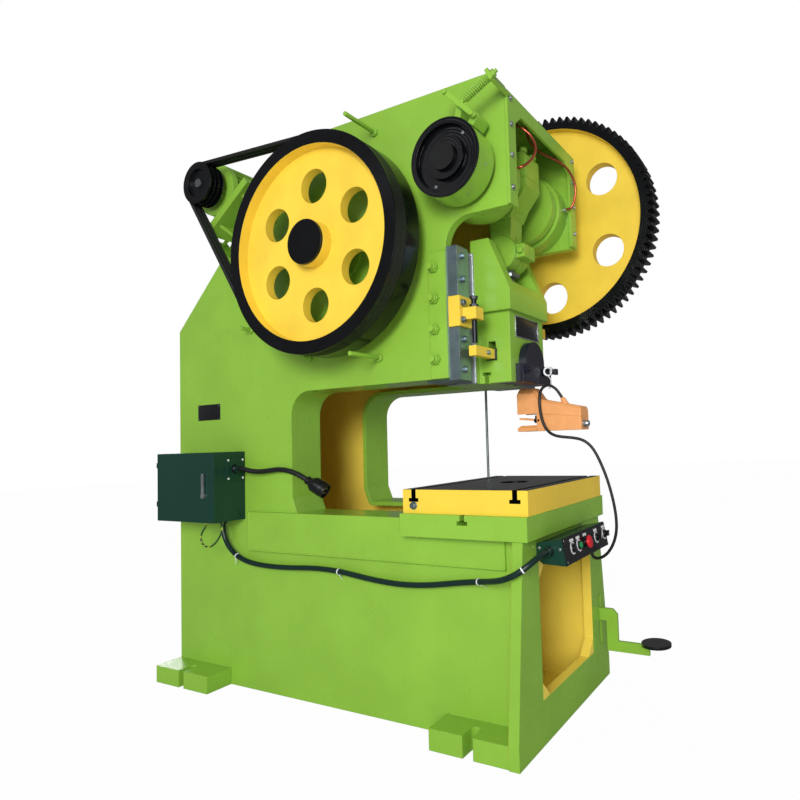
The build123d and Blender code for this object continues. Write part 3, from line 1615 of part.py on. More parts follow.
# Wire hook: a ring on the clamp screw and a link down to the cord
hook_low = 1276.0
with BuildPart() as wire_hook:
    ring_plane = Plane((stud_x, hook_y - 6, stud_z), x_dir=(1, 0, 0), z_dir=(0, -1, 0))
    with BuildSketch(ring_plane):
        Circle(14)
        Circle(10.8, mode=Mode.SUBTRACT)
    extrude(amount=3)
    block((stud_x - 1.5, hook_y - 9, hook_low), (stud_x + 1.5, hook_y - 6, stud_z - 11))
    block((62, hook_y - 9, hook_low), (stud_x + 1.5, hook_y - 6, hook_low + 3))
save(wire_hook, "wire_hook")

# Copper oil pipes from the top plate to the crank bearings
pipe = 4.0
left_pipe = [
    (-170, -790, frame_height - skin),
    (-170, -790, 2372),
    (-180, -806, 2330),
    (-178, -840, 2296),
    (-160, -878, 2272),
    (-146, -908, 2236),
    (-150, -922, 2190),
    (-176, -922, 2146),
    (-frame_half + 108, -916, 2108),
    (-frame_half + 84, -904, 2088),
    (-frame_half + 82, -890, crank_z),
    (-frame_half + 82, ram_y - boss_radius, crank_z),
]
right_pipe = [
    (40, -790, frame_height - skin),
    (40, -790, 2374),
    (62, -800, 2330),
    (98, -824, 2300),
    (142, -862, 2284),
    (186, -900, 2262),
    (222, -920, 2226),
    (frame_half - 80, -928, 2180),
    (frame_half - 74, -922, 2136),
    (frame_half - 76, -908, 2096),
    (frame_half - 78, -892, crank_z),
    (frame_half - 78, ram_y - boss_radius, crank_z),
]
with BuildPart() as oil_pipes:
    for route_points in (left_pipe, right_pipe):
        with BuildLine() as route:
            FilletPolyline(*route_points, radius=corner_radii(route_points))
        with BuildSketch(Plane(origin=route.line @ 0, z_dir=route.line % 0)):
            Circle(pipe)
        sweep(path=route.wires()[0])
save(oil_pipes, "oil_pipes")
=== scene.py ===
import functools
import math

import bmesh
import bpy
from mathutils import Matrix, Vector


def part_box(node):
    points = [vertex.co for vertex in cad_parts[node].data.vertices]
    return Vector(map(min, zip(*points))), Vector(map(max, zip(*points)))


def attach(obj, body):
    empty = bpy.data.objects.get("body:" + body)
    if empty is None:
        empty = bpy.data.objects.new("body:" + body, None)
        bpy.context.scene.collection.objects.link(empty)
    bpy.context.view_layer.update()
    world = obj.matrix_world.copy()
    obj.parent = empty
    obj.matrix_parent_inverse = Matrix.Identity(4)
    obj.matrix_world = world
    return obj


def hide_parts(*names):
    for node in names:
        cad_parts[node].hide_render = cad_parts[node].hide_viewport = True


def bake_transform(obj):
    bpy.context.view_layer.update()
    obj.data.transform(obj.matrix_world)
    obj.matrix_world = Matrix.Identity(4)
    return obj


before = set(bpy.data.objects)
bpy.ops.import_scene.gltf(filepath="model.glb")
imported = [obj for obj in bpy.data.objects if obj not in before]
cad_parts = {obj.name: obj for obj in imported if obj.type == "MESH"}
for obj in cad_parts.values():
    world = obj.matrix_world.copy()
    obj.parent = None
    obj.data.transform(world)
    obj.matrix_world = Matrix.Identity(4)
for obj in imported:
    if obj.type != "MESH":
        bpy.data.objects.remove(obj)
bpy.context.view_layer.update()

bl_info = {
    "name": "Stamping press looks",
    "version": (1, 0, 0),
    "blender": (4, 5, 0),
    "location": "View3D > Sidebar > Press",
    "description": "Paint, fasteners, cords and studio for a geared stamping press",
    "category": "Object",
}

X, Y, Z = Vector((1, 0, 0)), Vector((0, 1, 0)), Vector((0, 0, 1))

# Places taken from the press: crank axis, flywheel axis and motor axis, as Y and Z in metres
CRANK = (-0.7, 2.086)
FLYWHEEL = tuple((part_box("flywheel")[0][i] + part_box("flywheel")[1][i]) / 2 for i in (1, 2))
MOTOR = (0.548, 2.25)


def linear(hex_colour):
    """Turns an sRGB hex colour into the linear values that Blender's sockets take."""
    parts = [int(hex_colour[i:i + 2], 16) / 255 for i in (1, 3, 5)]
    return [c / 12.92 if c <= 0.04045 else ((c + 0.055) / 1.055) ** 2.4 for c in parts]


def add(tree, kind, settings=None, **inputs):
    """Adds a node with its settings, and sets or links its inputs. at1 is the input at place 1."""
    made = tree.nodes.new(kind)
    for name, value in (settings or {}).items():
        setattr(made, name, value)
    for name, value in inputs.items():
        socket = made.inputs[int(name[2:]) if name.startswith("at") else name.replace("_", " ")]
        if isinstance(value, bpy.types.NodeSocket):
            tree.links.new(value, socket)
        else:
            socket.default_value = value
    return made


def maths(tree, operation, a, b=0.0):
    """One step of arithmetic on two values or sockets."""
    return add(tree, "ShaderNodeMath", {"operation": operation}, at0=a, at1=b).outputs[0]


class Place:
    """A material in the making: where its points lie, and the patterns, normals and shaders over them."""

    def __init__(self, name):
        self.material = bpy.data.materials.new(name)
        self.material.use_nodes = True
        self.tree = self.material.node_tree
        self.tree.nodes.clear()
        self.coords = add(self.tree, "ShaderNodeTexCoord")
        self.at = self.coords.outputs["Object"]
        self.x, self.y, self.z = add(self.tree, "ShaderNodeSeparateXYZ", Vector=self.at).outputs
        self.across = maths(self.tree, "ABSOLUTE", self.x)

    def over(self, value, limit):
        return maths(self.tree, "GREATER_THAN", value, limit)

    def under(self, value, limit):
        return maths(self.tree, "LESS_THAN", value, limit)

    def both(self, *tests):
        """1 where every test is 1."""
        return functools.reduce(functools.partial(maths, self.tree, "MULTIPLY"), tests)

    def either(self, *tests):
        """1 where any test is 1."""
        return functools.reduce(functools.partial(maths, self.tree, "MAXIMUM"), tests)

    def between(self, value, low, high):
        return self.both(self.over(value, low), self.under(value, high))

    def radius(self, axis):
        """Distance from an axle along X."""
        sides = [maths(self.tree, "SUBTRACT", at, middle) for at, middle in zip((self.y, self.z), axis)]
        squares = [maths(self.tree, "MULTIPLY", side, side) for side in sides]
        return maths(self.tree, "SQRT", maths(self.tree, "ADD", *squares))

    def noise(self, size, detail=2.0, at=None):
        """A pattern of soft patches of the given size in metres."""
        return add(self.tree, "ShaderNodeTexNoise", Vector=at or self.at, Scale=1 / size,
                   Detail=detail).outputs["Fac"]

    def rounded(self, edge):
        """A normal that rounds every edge by a radius in metres."""
        return add(self.tree, "ShaderNodeBevel", {"samples": 4}, Radius=edge).outputs[0]

    def bump(self, height, strength, distance, normal):
        """A normal bent by a height pattern whose depth is in metres."""
        return add(self.tree, "ShaderNodeBump", Height=height, Strength=strength, Distance=distance,
                   Normal=normal).outputs[0]

    def swing(self, pattern, share, least):
        """A value that swings with a share of a pattern above a least one."""
        return maths(self.tree, "ADD", maths(self.tree, "MULTIPLY", pattern, share), least)

    def mottled(self, colour, spread, size):
        """A colour, or its hex text, drifting lighter and darker over patches of a size in metres."""
        if isinstance(colour, str):
            colour = linear(colour)
        patch = add(self.tree, "ShaderNodeTexNoise", Vector=self.at, Scale=1 / size, Detail=3.0,
                    Roughness=0.55)
        ramp = add(self.tree, "ShaderNodeValToRGB", Fac=patch.outputs["Fac"])
        dark, light = ramp.color_ramp.elements
        dark.position = 0.32
        dark.color = [c * (1 - spread) for c in colour] + [1]
        light.position = 0.68
        light.color = [min(1, c * (1 + spread)) for c in colour] + [1]
        return ramp.outputs["Color"]

    def coated(self, colour, coats, spread=0.06):
        """A paint colour with further colours over it, each where its own mask is 1."""
        base = self.mottled(colour, spread, 0.28)
        for where, second in coats:
            base = add(self.tree, "ShaderNodeMix", {"data_type": "RGBA"}, at0=where(self), at6=base,
                       at7=self.mottled(second, spread, 0.28)).outputs[2]
        return base

    def principled(self, base, rough, normal, **inputs):
        return add(self.tree, "ShaderNodeBsdfPrincipled", Base_Color=base, Roughness=rough, Normal=normal,
                   **inputs).outputs[0]

    def mixed(self, share, first, second):
        """The second shader over the first, by its share."""
        return add(self.tree, "ShaderNodeMixShader", at0=share, at1=first, at2=second).outputs[0]

    def finished(self, shader):
        """The material, with its surface shaded."""
        add(self.tree, "ShaderNodeOutputMaterial", Surface=shader)
        return self.material


def enamel(name, colour, *coats, roughness=0.3, edge=0.004, spread=0.06):
    """Machine enamel: brushed and sprayed alkyd paint, smooth and glossy over cast or welded steel.

    It gives soft wide highlights, a faint orange peel about 4 mm across and rounded paint on every edge.
    Each further coat is a pair of a mask and the colour it takes there.
    """
    place = Place(name)
    # the slow waves of a filled and sanded plate, 90 mm across, under the orange peel
    waves = place.bump(place.noise(0.09, 1.0), 0.10, 0.004, place.rounded(edge))
    peel = place.bump(place.noise(0.004, 1.0), 0.08, 0.0005, waves)
    rough = place.swing(place.noise(0.05), 0.16, roughness - 0.08)
    return place.finished(place.principled(
        place.coated(colour, coats, spread), rough, peel, IOR=1.5, Specular_IOR_Level=0.36, Coat_Weight=0.22,
        Coat_Roughness=0.07))


def steel(name, colour, *coats, along=(1, 1, 1), roughness=0.34, metallic=0.85, edge=0.001, depth=0.1):
    """Ground or milled steel, lightly oiled: fine scratches 2.2 mm apart, drawn out one way by a small scale.

    Enamel lies over it wherever the mask of one of its coats is 1.
    """
    place = Place(name)
    stretched = add(place.tree, "ShaderNodeMapping", Vector=place.at, Scale=along).outputs[0]
    rounded = place.rounded(edge)
    scratched = place.bump(place.noise(0.0022, 3.0, stretched), depth, 0.0004, rounded)
    rough = place.swing(place.noise(0.06, 4.0), 0.22, roughness - 0.1)
    shader = place.principled(place.mottled(colour, 0.16, 0.05), rough, scratched, Metallic=metallic)
    if coats:
        paint = place.principled(place.coated(coats[0][1], coats[1:]), 0.3, rounded, Specular_IOR_Level=0.36,
                                 Coat_Weight=0.12, Coat_Roughness=0.1)
        shader = place.mixed(place.either(*[where(place) for where, _ in coats]), shader, paint)
    return place.finished(shader)


def gloss_black(name, axis, pitch=0.008, second=None, where=None, roughness=0.16):
    """Black gloss enamel over a turned face: the lathe's rings, a pitch apart, show in its highlights.

    A second enamel lies over rough casting, 6 mm across, wherever the mask is 1.
    """
    place = Place(name)
    ring = maths(place.tree, "SINE", maths(place.tree, "MULTIPLY", place.radius(axis), 2 * math.pi / pitch))
    wobble = place.noise(0.05)
    rounded = place.rounded(0.003)
    turning = place.bump(place.swing(wobble, 3.0, ring), 0.3, 0.0006, rounded)
    rough = place.swing(wobble, 0.14, roughness - 0.05)
    shader = place.principled(place.mottled("#0A0B0E", 0.25, 0.08), rough, turning, IOR=1.5,
                              Specular_IOR_Level=0.3, Coat_Weight=0.08, Coat_Roughness=0.05)
    if where:
        casting = place.bump(place.noise(0.006, 4.0), 0.28, 0.0008, rounded)
        paint = place.principled(place.mottled(second, 0.08, 0.2), 0.36, casting, IOR=1.5,
                                 Specular_IOR_Level=0.4)
        shader = place.mixed(where(place), shader, paint)
    return place.finished(shader)


def moulded(name, colour, roughness=0.38, size=0.0016):
    """Moulded plastic or rubber with a fine matt grain from the mould, 1.6 mm across, and 30 mm scuffs."""
    place = Place(name)
    grain = place.bump(place.noise(size), 0.3, 0.0002, place.rounded(0.0015))
    rough = place.swing(place.noise(0.03, 3.0), 0.2, roughness - 0.1)
    return place.finished(place.principled(place.mottled(colour, 0.05, 0.03), rough, grain, IOR=1.5))


def striped(name, colour, second, pitch=0.03):
    """Earth wire sheath: green PVC with a yellow stripe that winds round it every 30 mm."""
    place = Place(name)
    tree = place.tree
    along = maths(tree, "ADD", maths(tree, "ADD", place.y, place.z), maths(tree, "MULTIPLY", place.x, 2.0))
    wave = maths(tree, "SINE", maths(tree, "MULTIPLY", along, 2 * math.pi / pitch))
    mix = add(tree, "ShaderNodeMix", {"data_type": "RGBA"}, at0=place.over(wave, 0.5),
              at6=linear(colour) + [1], at7=linear(second) + [1])
    grain = add(tree, "ShaderNodeBump", Height=place.noise(0.002), Strength=0.2, Distance=0.0002)
    return place.finished(place.principled(mix.outputs[2], 0.42, grain.outputs[0]))


# Shapes


def placed(name, data):
    """A new object in the scene."""
    made = bpy.data.objects.new(name, data)
    bpy.context.scene.collection.objects.link(made)
    return made


def dressed(piece, body, replaced=None):
    """Gives a piece the body that it rides on and hides the CAD node that it replaces."""
    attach(piece, body)
    if replaced:
        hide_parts(replaced)
    return piece


def finish_piece(name, bm, finish, body, smooth=35, replaced=None):
    """Turns a bmesh into a piece of the press: one object at the origin that rides on a body."""
    bmesh.ops.remove_doubles(bm, verts=bm.verts, dist=1e-6)
    bmesh.ops.recalc_face_normals(bm, faces=bm.faces)
    mesh = bpy.data.meshes.new(name)
    bm.to_mesh(mesh)
    bm.free()
    mesh.materials.append(MATERIALS[finish])
    mesh.shade_smooth()
    mesh.set_sharp_from_angle(angle=math.radians(smooth))
    return dressed(placed(name, mesh), body, replaced)


def bright_piece(name, bm, body="frame"):
    """A zinc plated piece."""
    return finish_piece(name, bm, "bright", body)


def shift(x, y, z):
    return Matrix.Translation((x, y, z))


def spun(degrees):
    return Matrix.Rotation(math.radians(degrees), 4, "Z")


def facing(origin, direction):
    """A matrix that stands local Z along a direction at a point."""
    turn = Vector(direction).to_track_quat("Z", "Y").to_matrix().to_4x4()
    return shift(*origin) @ turn


def crown(bm, verts, size):
    """Bevels the edges of newly made corners that turn by over 60 degrees."""
    edges = {e for v in verts for e in v.link_edges}
    sharp = [e for e in edges if e.is_manifold and e.calc_face_angle(0) > math.radians(60)]
    bmesh.ops.bevel(bm, geom=sharp, offset=size, affect="EDGES", segments=2, profile=0.5, material=-1)


def disc(bm, place, radius, height, segments=32, bevel=0.0):
    """A round slab along a placement's Z, with its rim eased."""
    verts = bmesh.ops.create_cone(bm, cap_ends=True, segments=segments, radius1=radius, radius2=radius,
                                  depth=height)["verts"]
    bmesh.ops.transform(bm, matrix=place @ shift(0, 0, height / 2), verts=verts)
    if bevel:
        crown(bm, verts, bevel)


def hexagon(bm, place, across, height, washer=0.0, bevel=0.0012):
    """A hexagon bolt head with an eased rim, on a washer where one is asked for."""
    if washer:
        disc(bm, place, across * 0.72, washer, 24, bevel / 2)
        place = place @ shift(0, 0, washer)
    disc(bm, place, across / math.sqrt(3), height, 6, bevel)
    top = place @ shift(0, 0, height)
    disc(bm, top, across * 0.40, across * 0.035, 24)


def cuboid(bm, size, place):
    """A box of a size about a placement's origin."""
    verts = bmesh.ops.create_cube(bm, size=1)["verts"]
    bmesh.ops.scale(bm, vec=size, verts=verts)
    bmesh.ops.transform(bm, matrix=place, verts=verts)
    return verts


def slab(bm, low, high, bevel=0.0):
    """A block between two corners, its edges eased."""
    low, high = Vector(low), Vector(high)
    verts = cuboid(bm, high - low, shift(*(low + high) / 2))
    if bevel:
        crown(bm, verts, bevel)


def turned(bm, place, profile, steps=48):
    """A turned shape: a profile of (along, radius) pairs spun about a placement's Z."""
    before = set(bm.verts)
    verts = [bm.verts.new((radius, 0, along)) for along, radius in profile]
    edges = [bm.edges.new(pair) for pair in zip(verts, verts[1:])]
    bmesh.ops.spin(bm, geom=verts + edges, cent=(0, 0, 0), axis=(0, 0, 1), angle=2 * math.pi, steps=steps,
                   use_merge=True)
    bmesh.ops.transform(bm, matrix=place, verts=[v for v in bm.verts if v not in before])


def rod(name, kind, points, radius, finish, sides):
    """A round curve with one spline of a kind through its points."""
    curve = bpy.data.curves.new(name, "CURVE")
    curve.dimensions = "3D"
    curve.bevel_depth = radius
    curve.bevel_resolution = sides
    curve.use_fill_caps = True
    curve.materials.append(MATERIALS[finish])
    spline = curve.splines.new(kind)
    spline.points.add(len(points) - 1)
    for point, place in zip(spline.points, points):
        point.co = (*place, 1)
    return curve, spline


def line(name, points, radius, finish, order=3, sides=4):
    """A round line along one smooth NURBS curve through its route."""
    curve, spline = rod(name, "NURBS", points, radius, finish, sides)
    spline.order_u = order
    spline.use_endpoint_u = True
    curve.resolution_u = 10
    return placed(name, curve)


def trace(piece):
    """Points along a line's own smooth curve."""
    depth = piece.data.bevel_depth
    piece.data.bevel_depth = 0
    bpy.context.view_layer.update()
    mesh = bpy.data.meshes.new_from_object(piece.evaluated_get(bpy.context.evaluated_depsgraph_get()))
    piece.data.bevel_depth = depth
    points = [v.co.copy() for v in mesh.vertices]
    bpy.data.meshes.remove(mesh)
    return points


def millimetres(points):
    return [tuple(c / 1000 for c in point) for point in points]


# Settings


def colour_setting(name, text, hex_colour):
    return bpy.props.FloatVectorProperty(name=name, description=text, subtype="COLOR", size=3,
                                         min=0.0, max=1.0, default=linear(hex_colour))


class PressColours(bpy.types.PropertyGroup):
    """Colours of the press's paints and plastics."""

    frame_green: colour_setting("Frame green", "Enamel on the frame, head and slide", "#8BBB40")
    inside_yellow: colour_setting("Inside yellow", "Enamel on the wheels' webs and the bolster", "#F1CE45")
    # Window yellow is the walls' yellow enamel painted lighter than the inside yellow: painted light standing
    # in for the light that falls in through the window, bed and throat.
    window_yellow_and_painted_light: colour_setting("Window yellow and painted light", "Enamel on the walls inside the bed and throat, lightened as painted light", "#FBDD58")
    box_green: colour_setting("Box green", "Enamel on the cabinet and the control box", "#0D3A2E")
    switch_orange: colour_setting("Switch orange", "Plastic of the foot switch", "#F2A868")
    slideway: colour_setting("Slideway steel", "Ground steel of the gibs", "#8DA0A8")


def radius_setting(name, of, radius, least, most):
    return bpy.props.FloatProperty(name=name, description=f"Radius of the {of}", default=radius,
                                   min=least, max=most, unit="LENGTH")


class PressSizes(bpy.types.PropertyGroup):
    """Sizes of the small parts."""

    cable: radius_setting("Cable", "power lead and the conduit", 0.011, 0.005, 0.02)
    switch_cord: radius_setting("Switch cord", "foot switch's cord", 0.006, 0.003, 0.01)
    oil_pipe: radius_setting("Oil pipe", "copper oil pipes", 0.0052, 0.002, 0.008)
    weld: radius_setting("Weld bead", "weld beads on the frame", 0.005, 0.002, 0.012)


MATERIALS = {}


def interior(place):
    """Inner faces of a side plate, as far forward as the yellow paint goes."""
    deep = place.either(place.over(place.y, -0.46), place.under(place.z, 0.80))
    return place.both(place.under(place.across, 0.2862), deep)


def window_rim(place):
    rim = place.both(place.under(place.across, 0.2553), place.between(place.z, 0.1545, 0.6405))
    return place.either(rim, place.over(place.y, -0.8804))


def inner_side(place):
    normal = add(place.tree, "ShaderNodeSeparateXYZ", Vector=place.coords.outputs["Normal"]).outputs
    return place.either(place.under(normal[1], -0.3), place.under(normal[2], -0.45))


def bolster_sides(place):
    """The bolster's sides are painted, its top, slots and hole are bare."""
    slot = place.either(place.between(place.y, -0.9125, -0.8675), place.between(place.y, -0.4825, -0.4375))
    inside = place.both(slot, place.under(place.across, 0.3648), place.over(place.z, 0.8535))
    hole = place.both(place.under(place.across, 0.09), place.between(place.y, -0.79, -0.61))
    return maths(place.tree, "SUBTRACT", 1.0, place.either(place.over(place.z, 0.8996), inside, hole))


def fly_web(place):
    return place.both(place.under(place.radius(FLYWHEEL), 0.3845), place.over(place.x, -0.5335))


def gear_web(place):
    return place.under(place.radius(CRANK), 0.4703)


def cheeks(place):
    """The crank's round cheeks are painted, its pin and journals are bare."""
    return place.between(place.across, 0.1498, 0.1905)


def crank_tip(place):
    return place.under(place.x, -0.40)


def outside(place):
    return place.over(place.across, 0.3215)


def guide_faces(place):
    return place.under(place.across, 0.1747)


def bar_ends(place):
    return place.over(place.across, 0.1605)


def pad_black(place):
    return place.both(place.over(place.z, 0.1838), place.under(place.y, -1.103))


class PRESS_OT_paint(bpy.types.Operator):
    """Give every CAD node of the press its own finish."""

    bl_idname = "press.paint"
    bl_label = "Paint and metals"

    def execute(self, context):
        paint = context.scene.press_colours
        green, box = paint.frame_green, paint.box_green
        # pale is real yellow enamel, painted lighter than the inside yellow as painted light on the walls
        # inside the bed and throat.
        yellow, pale = paint.inside_yellow, paint.window_yellow_and_painted_light
        upright = (1, 1, 0.03)
        finishes = {
            "green": (enamel("green machine enamel", green),
                      "machine_feet table_body head_cover motor_base_plate motor_bracket shaft_bearings "
                      "brake_anchor brake_spring top_plate throat_linings"),
            "soft_green": (enamel("green enamel on castings", green, edge=0.008),
                           "con_rod con_rod_cap motor_housing brake_band rod_bolts"),
            # the walls, the window rim, the rear plate's inner side and the bed take the lightened yellow:
            # yellow enamel with painted light in it
            "walls": (enamel("green enamel, yellow inside", green, (interior, pale)),
                      "side_plate_left side_plate_right"),
            "front": (enamel("green enamel, yellow window rim", green, (window_rim, pale)), "front_plate"),
            "shell": (enamel("green enamel, yellow on the inner side", green, (inner_side, pale)),
                      "rear_plate"),
            "yellow": (enamel("yellow machine enamel", yellow), "stop_brackets"),
            "pale": (enamel("yellow enamel inside the bed, lightened as painted light", pale), "base_plate"),
            "box": (enamel("dark green sheet enamel", box, roughness=0.34, edge=0.0015), "control_box"),
            "cabinet": (enamel("dark green powder coat", box, roughness=0.4, edge=0.0015),
                        "cabinet_box cabinet_door"),
            "bolster": (steel("milled bolster, yellow sides", "#1E1F21", (bolster_sides, yellow),
                              along=(0.03, 1, 1), roughness=0.3, metallic=0.7), "bolster_plate"),
            "crank": (steel("ground crankshaft, green cheeks", "#7C8489", (cheeks, green),
                            (crank_tip, "#0B0C0E")), "crankshaft"),
            "slide": (steel("ground slideways, green slide", "#AEB7BC", (guide_faces, green), along=upright,
                            roughness=0.36, edge=0.006, depth=0.06), "slide"),
            "bar": (steel("oiled steel, yellow knock-out bar", "#3A3D40", (bar_ends, yellow), along=upright,
                          edge=0.002), "knockout_bar"),
            "screws": (steel("dark screws, green where they stand out", "#33363A", (outside, green),
                             roughness=0.38), "adjusting_screws"),
            "gib": (steel("ground gib steel", paint.slideway, along=upright, roughness=0.36, depth=0.2),
                    "gibs"),
            "dark": (steel("blackened steel", "#33363A", roughness=0.38), "frame_bolts"),
            "bright": (steel("zinc plated steel", "#B9BEC2", roughness=0.28), "cabinet_latch"),
            "ground": (steel("ground steel", "#858D92"), "ball_screw pinion_shaft motor_rotor pull_rod"),
            # the wire's near white, hardly metallic colour is partly pale zinc and partly a painted
            # reflection of bright surroundings
            "wire": (steel("galvanised wire with painted reflection", "#E6EAEC", along=upright, roughness=0.45, metallic=0.1,
                           depth=0.05), "wire_hook"),
            "bronze": (steel("bearing bronze", "#A97B45"), "crank_bushes"),
            "copper": (steel("drawn copper pipe", "#D0674A", roughness=0.26), "oil_pipes"),
            "clamp": (enamel("blue-black oxide and oil", "#1B1C2B", edge=0.005, spread=0.3), "shank_clamp"),
            "fly": (gloss_black("flywheel, black rim and yellow web", FLYWHEEL, 0.008, yellow, fly_web),
                    "flywheel"),
            "gear": (gloss_black("gear, black teeth and yellow web", CRANK, 0.008, yellow, gear_web),
                     "drive_gear"),
            "drum": (gloss_black("turned black brake drum", CRANK, 0.011, roughness=0.1), "brake_drum"),
            "pulley": (gloss_black("black pulley", MOTOR, 0.006), "motor_pulley"),
            "pedal": (enamel("green pedal, black pad", green, (pad_black, "#111214")), "pedal_lever"),
            "orange": (moulded("moulded orange switch body", paint.switch_orange, 0.42),
                       "foot_switch_base foot_switch_pedal"),
            "rubber": (moulded("black rubber sheath", "#17181B", 0.46), "power_lead foot_switch_cord"),
            "hose": (moulded("dark green hose", "#0F2A26", 0.36), "conduit"),
            "belt": (moulded("rubber V-belt", "#1B1C1D", 0.62, 0.003), "v_belts"),
            "black": (moulded("black phenolic", "#141517", 0.3),
                      "power_plug button_black selector_left selector_right"),
            "panel": (moulded("black panel film", "#15161A", 0.3), "control_panel"),
            "red": (moulded("red mushroom button", "#D2202C", 0.26), "button_red"),
            "go": (moulded("green push button", "#0F9B52", 0.26), "button_green"),
            "white": (moulded("white nylon", "#E6E8E6", 0.4), "cabinet_components"),
            "earth": (striped("earth wire sheath", "#28502A", "#A9B43C"), "earth_wire"),
        }
        painted = set()
        for key, (material, nodes) in finishes.items():
            MATERIALS[key] = material
            for name in nodes.split():
                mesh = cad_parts[name].data
                mesh.materials.clear()
                mesh.materials.append(material)
                painted.add(name)
        missing = set(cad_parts) - painted
        if missing:
            raise RuntimeError(f"no finish for {sorted(missing)}")
        return {"FINISHED"}


class PRESS_OT_stage(bpy.types.Operator):
    """Set the camera, the pale floor and backdrop and the soft studio light."""

    bl_idname = "press.stage"
    bl_label = "Studio"

    def execute(self, context):
        scene = context.scene
        # the photograph's camera: its turns in radians, then its focal length and centre in pixels of 800
        yaw, pitch, roll = 0.4763, 0.0516, -0.0341
        focal, centre_x, centre_y = 603.487, 515.905, 406.930
        ahead = Vector((math.cos(yaw) * math.cos(pitch), math.sin(yaw) * math.cos(pitch), math.sin(pitch)))
        right = Vector((math.sin(yaw), -math.cos(yaw), 0))
        up = right.cross(ahead)
        side = math.cos(roll) * right + math.sin(roll) * up
        top = -math.sin(roll) * right + math.cos(roll) * up
        lens = bpy.data.cameras.new("camera")
        lens.sensor_width = 36
        lens.lens = focal * lens.sensor_width / 800
        lens.shift_x = (400 - centre_x) / 800
        lens.shift_y = (centre_y - 400) / 800
        camera = placed("camera", lens)
        turn = Matrix((side, top, -ahead)).transposed().to_4x4()
        camera.matrix_world = shift(-2.2153, -1.8613, 1.08) @ turn
        scene.camera = camera

        paint = Place("white studio floor")
        tree = paint.tree
        path = add(tree, "ShaderNodeLightPath").outputs
        seen = maths(tree, "MAXIMUM", path["Is Camera Ray"], path["Is Transmission Ray"])
        shade = add(tree, "ShaderNodeMix", {"data_type": "RGBA"}, at0=path["Is Glossy Ray"],
                    at6=(0.8, 0.8, 0.8, 1), at7=(0.2, 0.2, 0.2, 1))
        flat = add(tree, "ShaderNodeBsdfDiffuse", Color=shade.outputs[2])
        glow = add(tree, "ShaderNodeEmission", Color=(1, 1, 1, 1), Strength=1.0)
        share = maths(tree, "MULTIPLY", seen, 0.975)
        mesh = bpy.data.meshes.new("floor")
        mesh.from_pydata([(-20, -20, 0), (20, -20, 0), (20, 20, 0), (-20, 20, 0)], [], [(0, 1, 2, 3)])
        mesh.materials.append(paint.finished(paint.mixed(share, flat.outputs[0], glow.outputs[0])))
        floor = placed("floor", mesh)

        world = bpy.data.worlds.new("studio")
        world.use_nodes = True
        scene.world = world
        tree = world.node_tree
        tree.nodes.clear()
        path = add(tree, "ShaderNodeLightPath").outputs
        shown = maths(tree, "MAXIMUM", path["Is Camera Ray"], path["Is Transmission Ray"])
        dimmed = maths(tree, "MULTIPLY", path["Is Glossy Ray"], -0.26)
        strength = maths(tree, "ADD", maths(tree, "MULTIPLY", shown, 0.58), maths(tree, "ADD", dimmed, 0.42))
        sky = add(tree, "ShaderNodeBackground", Color=(1, 1, 1, 1), Strength=strength)
        add(tree, "ShaderNodeOutputWorld", Surface=sky.outputs[0])

        # the last lamp stands where the drum's turned face mirrors it to the camera
        for name, kind, place, target, size, energy in (
            ("high light", "SUN", (0, 0, 0), (1.0, 0.45, -0.28), 22, 0.85),
            ("rear fill", "SUN", (0, 0, 0), (-0.45, -0.85, -0.45), 14, 0.75),
            ("key light", "AREA", (-4.2, -2.0, 2.2), (-0.2, -0.8, 1.1), 1.6, 96),
            ("glint light", "AREA", (-4.4, 2.0, 4.2), (-0.45, -0.5, 2.0), 0.8, 1.6),
        ):
            light = bpy.data.lights.new(name, kind)
            light.energy = energy
            if kind == "SUN":
                light.angle = math.radians(size)
            else:
                light.shape = "DISK"
                light.size = size
            lamp = placed(name, light)
            lamp.location = place
            lamp.rotation_euler = (Vector(target) - Vector(place)).to_track_quat("-Z", "Y").to_euler()
        scene.view_settings.view_transform = "Standard"
        return {"FINISHED"}


POWER_LEAD = millimetres([
    (-374, 498, 985), (-374, 478, 985), (-371, 452, 980), (-362, 425, 972), (-350, 380, 970),
    (-344, 330, 975), (-342, 280, 979), (-338, 232, 974), (-326, 186, 958), (-312, 146, 932),
])
CONDUIT = millimetres([
    (-350, 640, 735), (-350, 640, 700), (-350, 622, 655), (-349, 588, 616), (-348, 545, 588),
    (-347, 492, 571), (-346, 436, 562), (-346, 376, 558), (-346, 312, 557), (-346, 248, 558),
    (-346, 184, 561), (-346, 120, 565), (-346, 56, 567), (-346, -8, 566), (-346, -72, 562),
    (-346, -136, 555), (-346, -200, 547), (-346, -264, 541), (-346, -328, 537), (-346, -392, 536),
    (-346, -456, 539), (-346, -520, 545), (-346, -584, 554), (-348, -648, 564), (-355, -710, 573),
    (-372, -768, 582), (-396, -818, 592), (-414, -868, 606), (-417, -916, 628), (-400, -950, 654),
    (-366, -967, 673), (-326, -968, 680), (-290, -968, 680),
])
EARTH_WIRE = millimetres([
    (-430, 640, 755), (-430, 640, 742), (-431, 654, 724), (-432, 672, 706), (-434, 682, 678),
    (-434, 668, 650), (-432, 638, 638), (-430, 604, 646), (-430, 572, 670), (-430, 548, 700),
    (-430, 537, 730), (-430, 537, 755),
])
SWITCH_GLAND = Vector((0.09, -0.905, 1.212))
GLAND_WAY = Vector((0, 0.5, math.sqrt(0.75)))
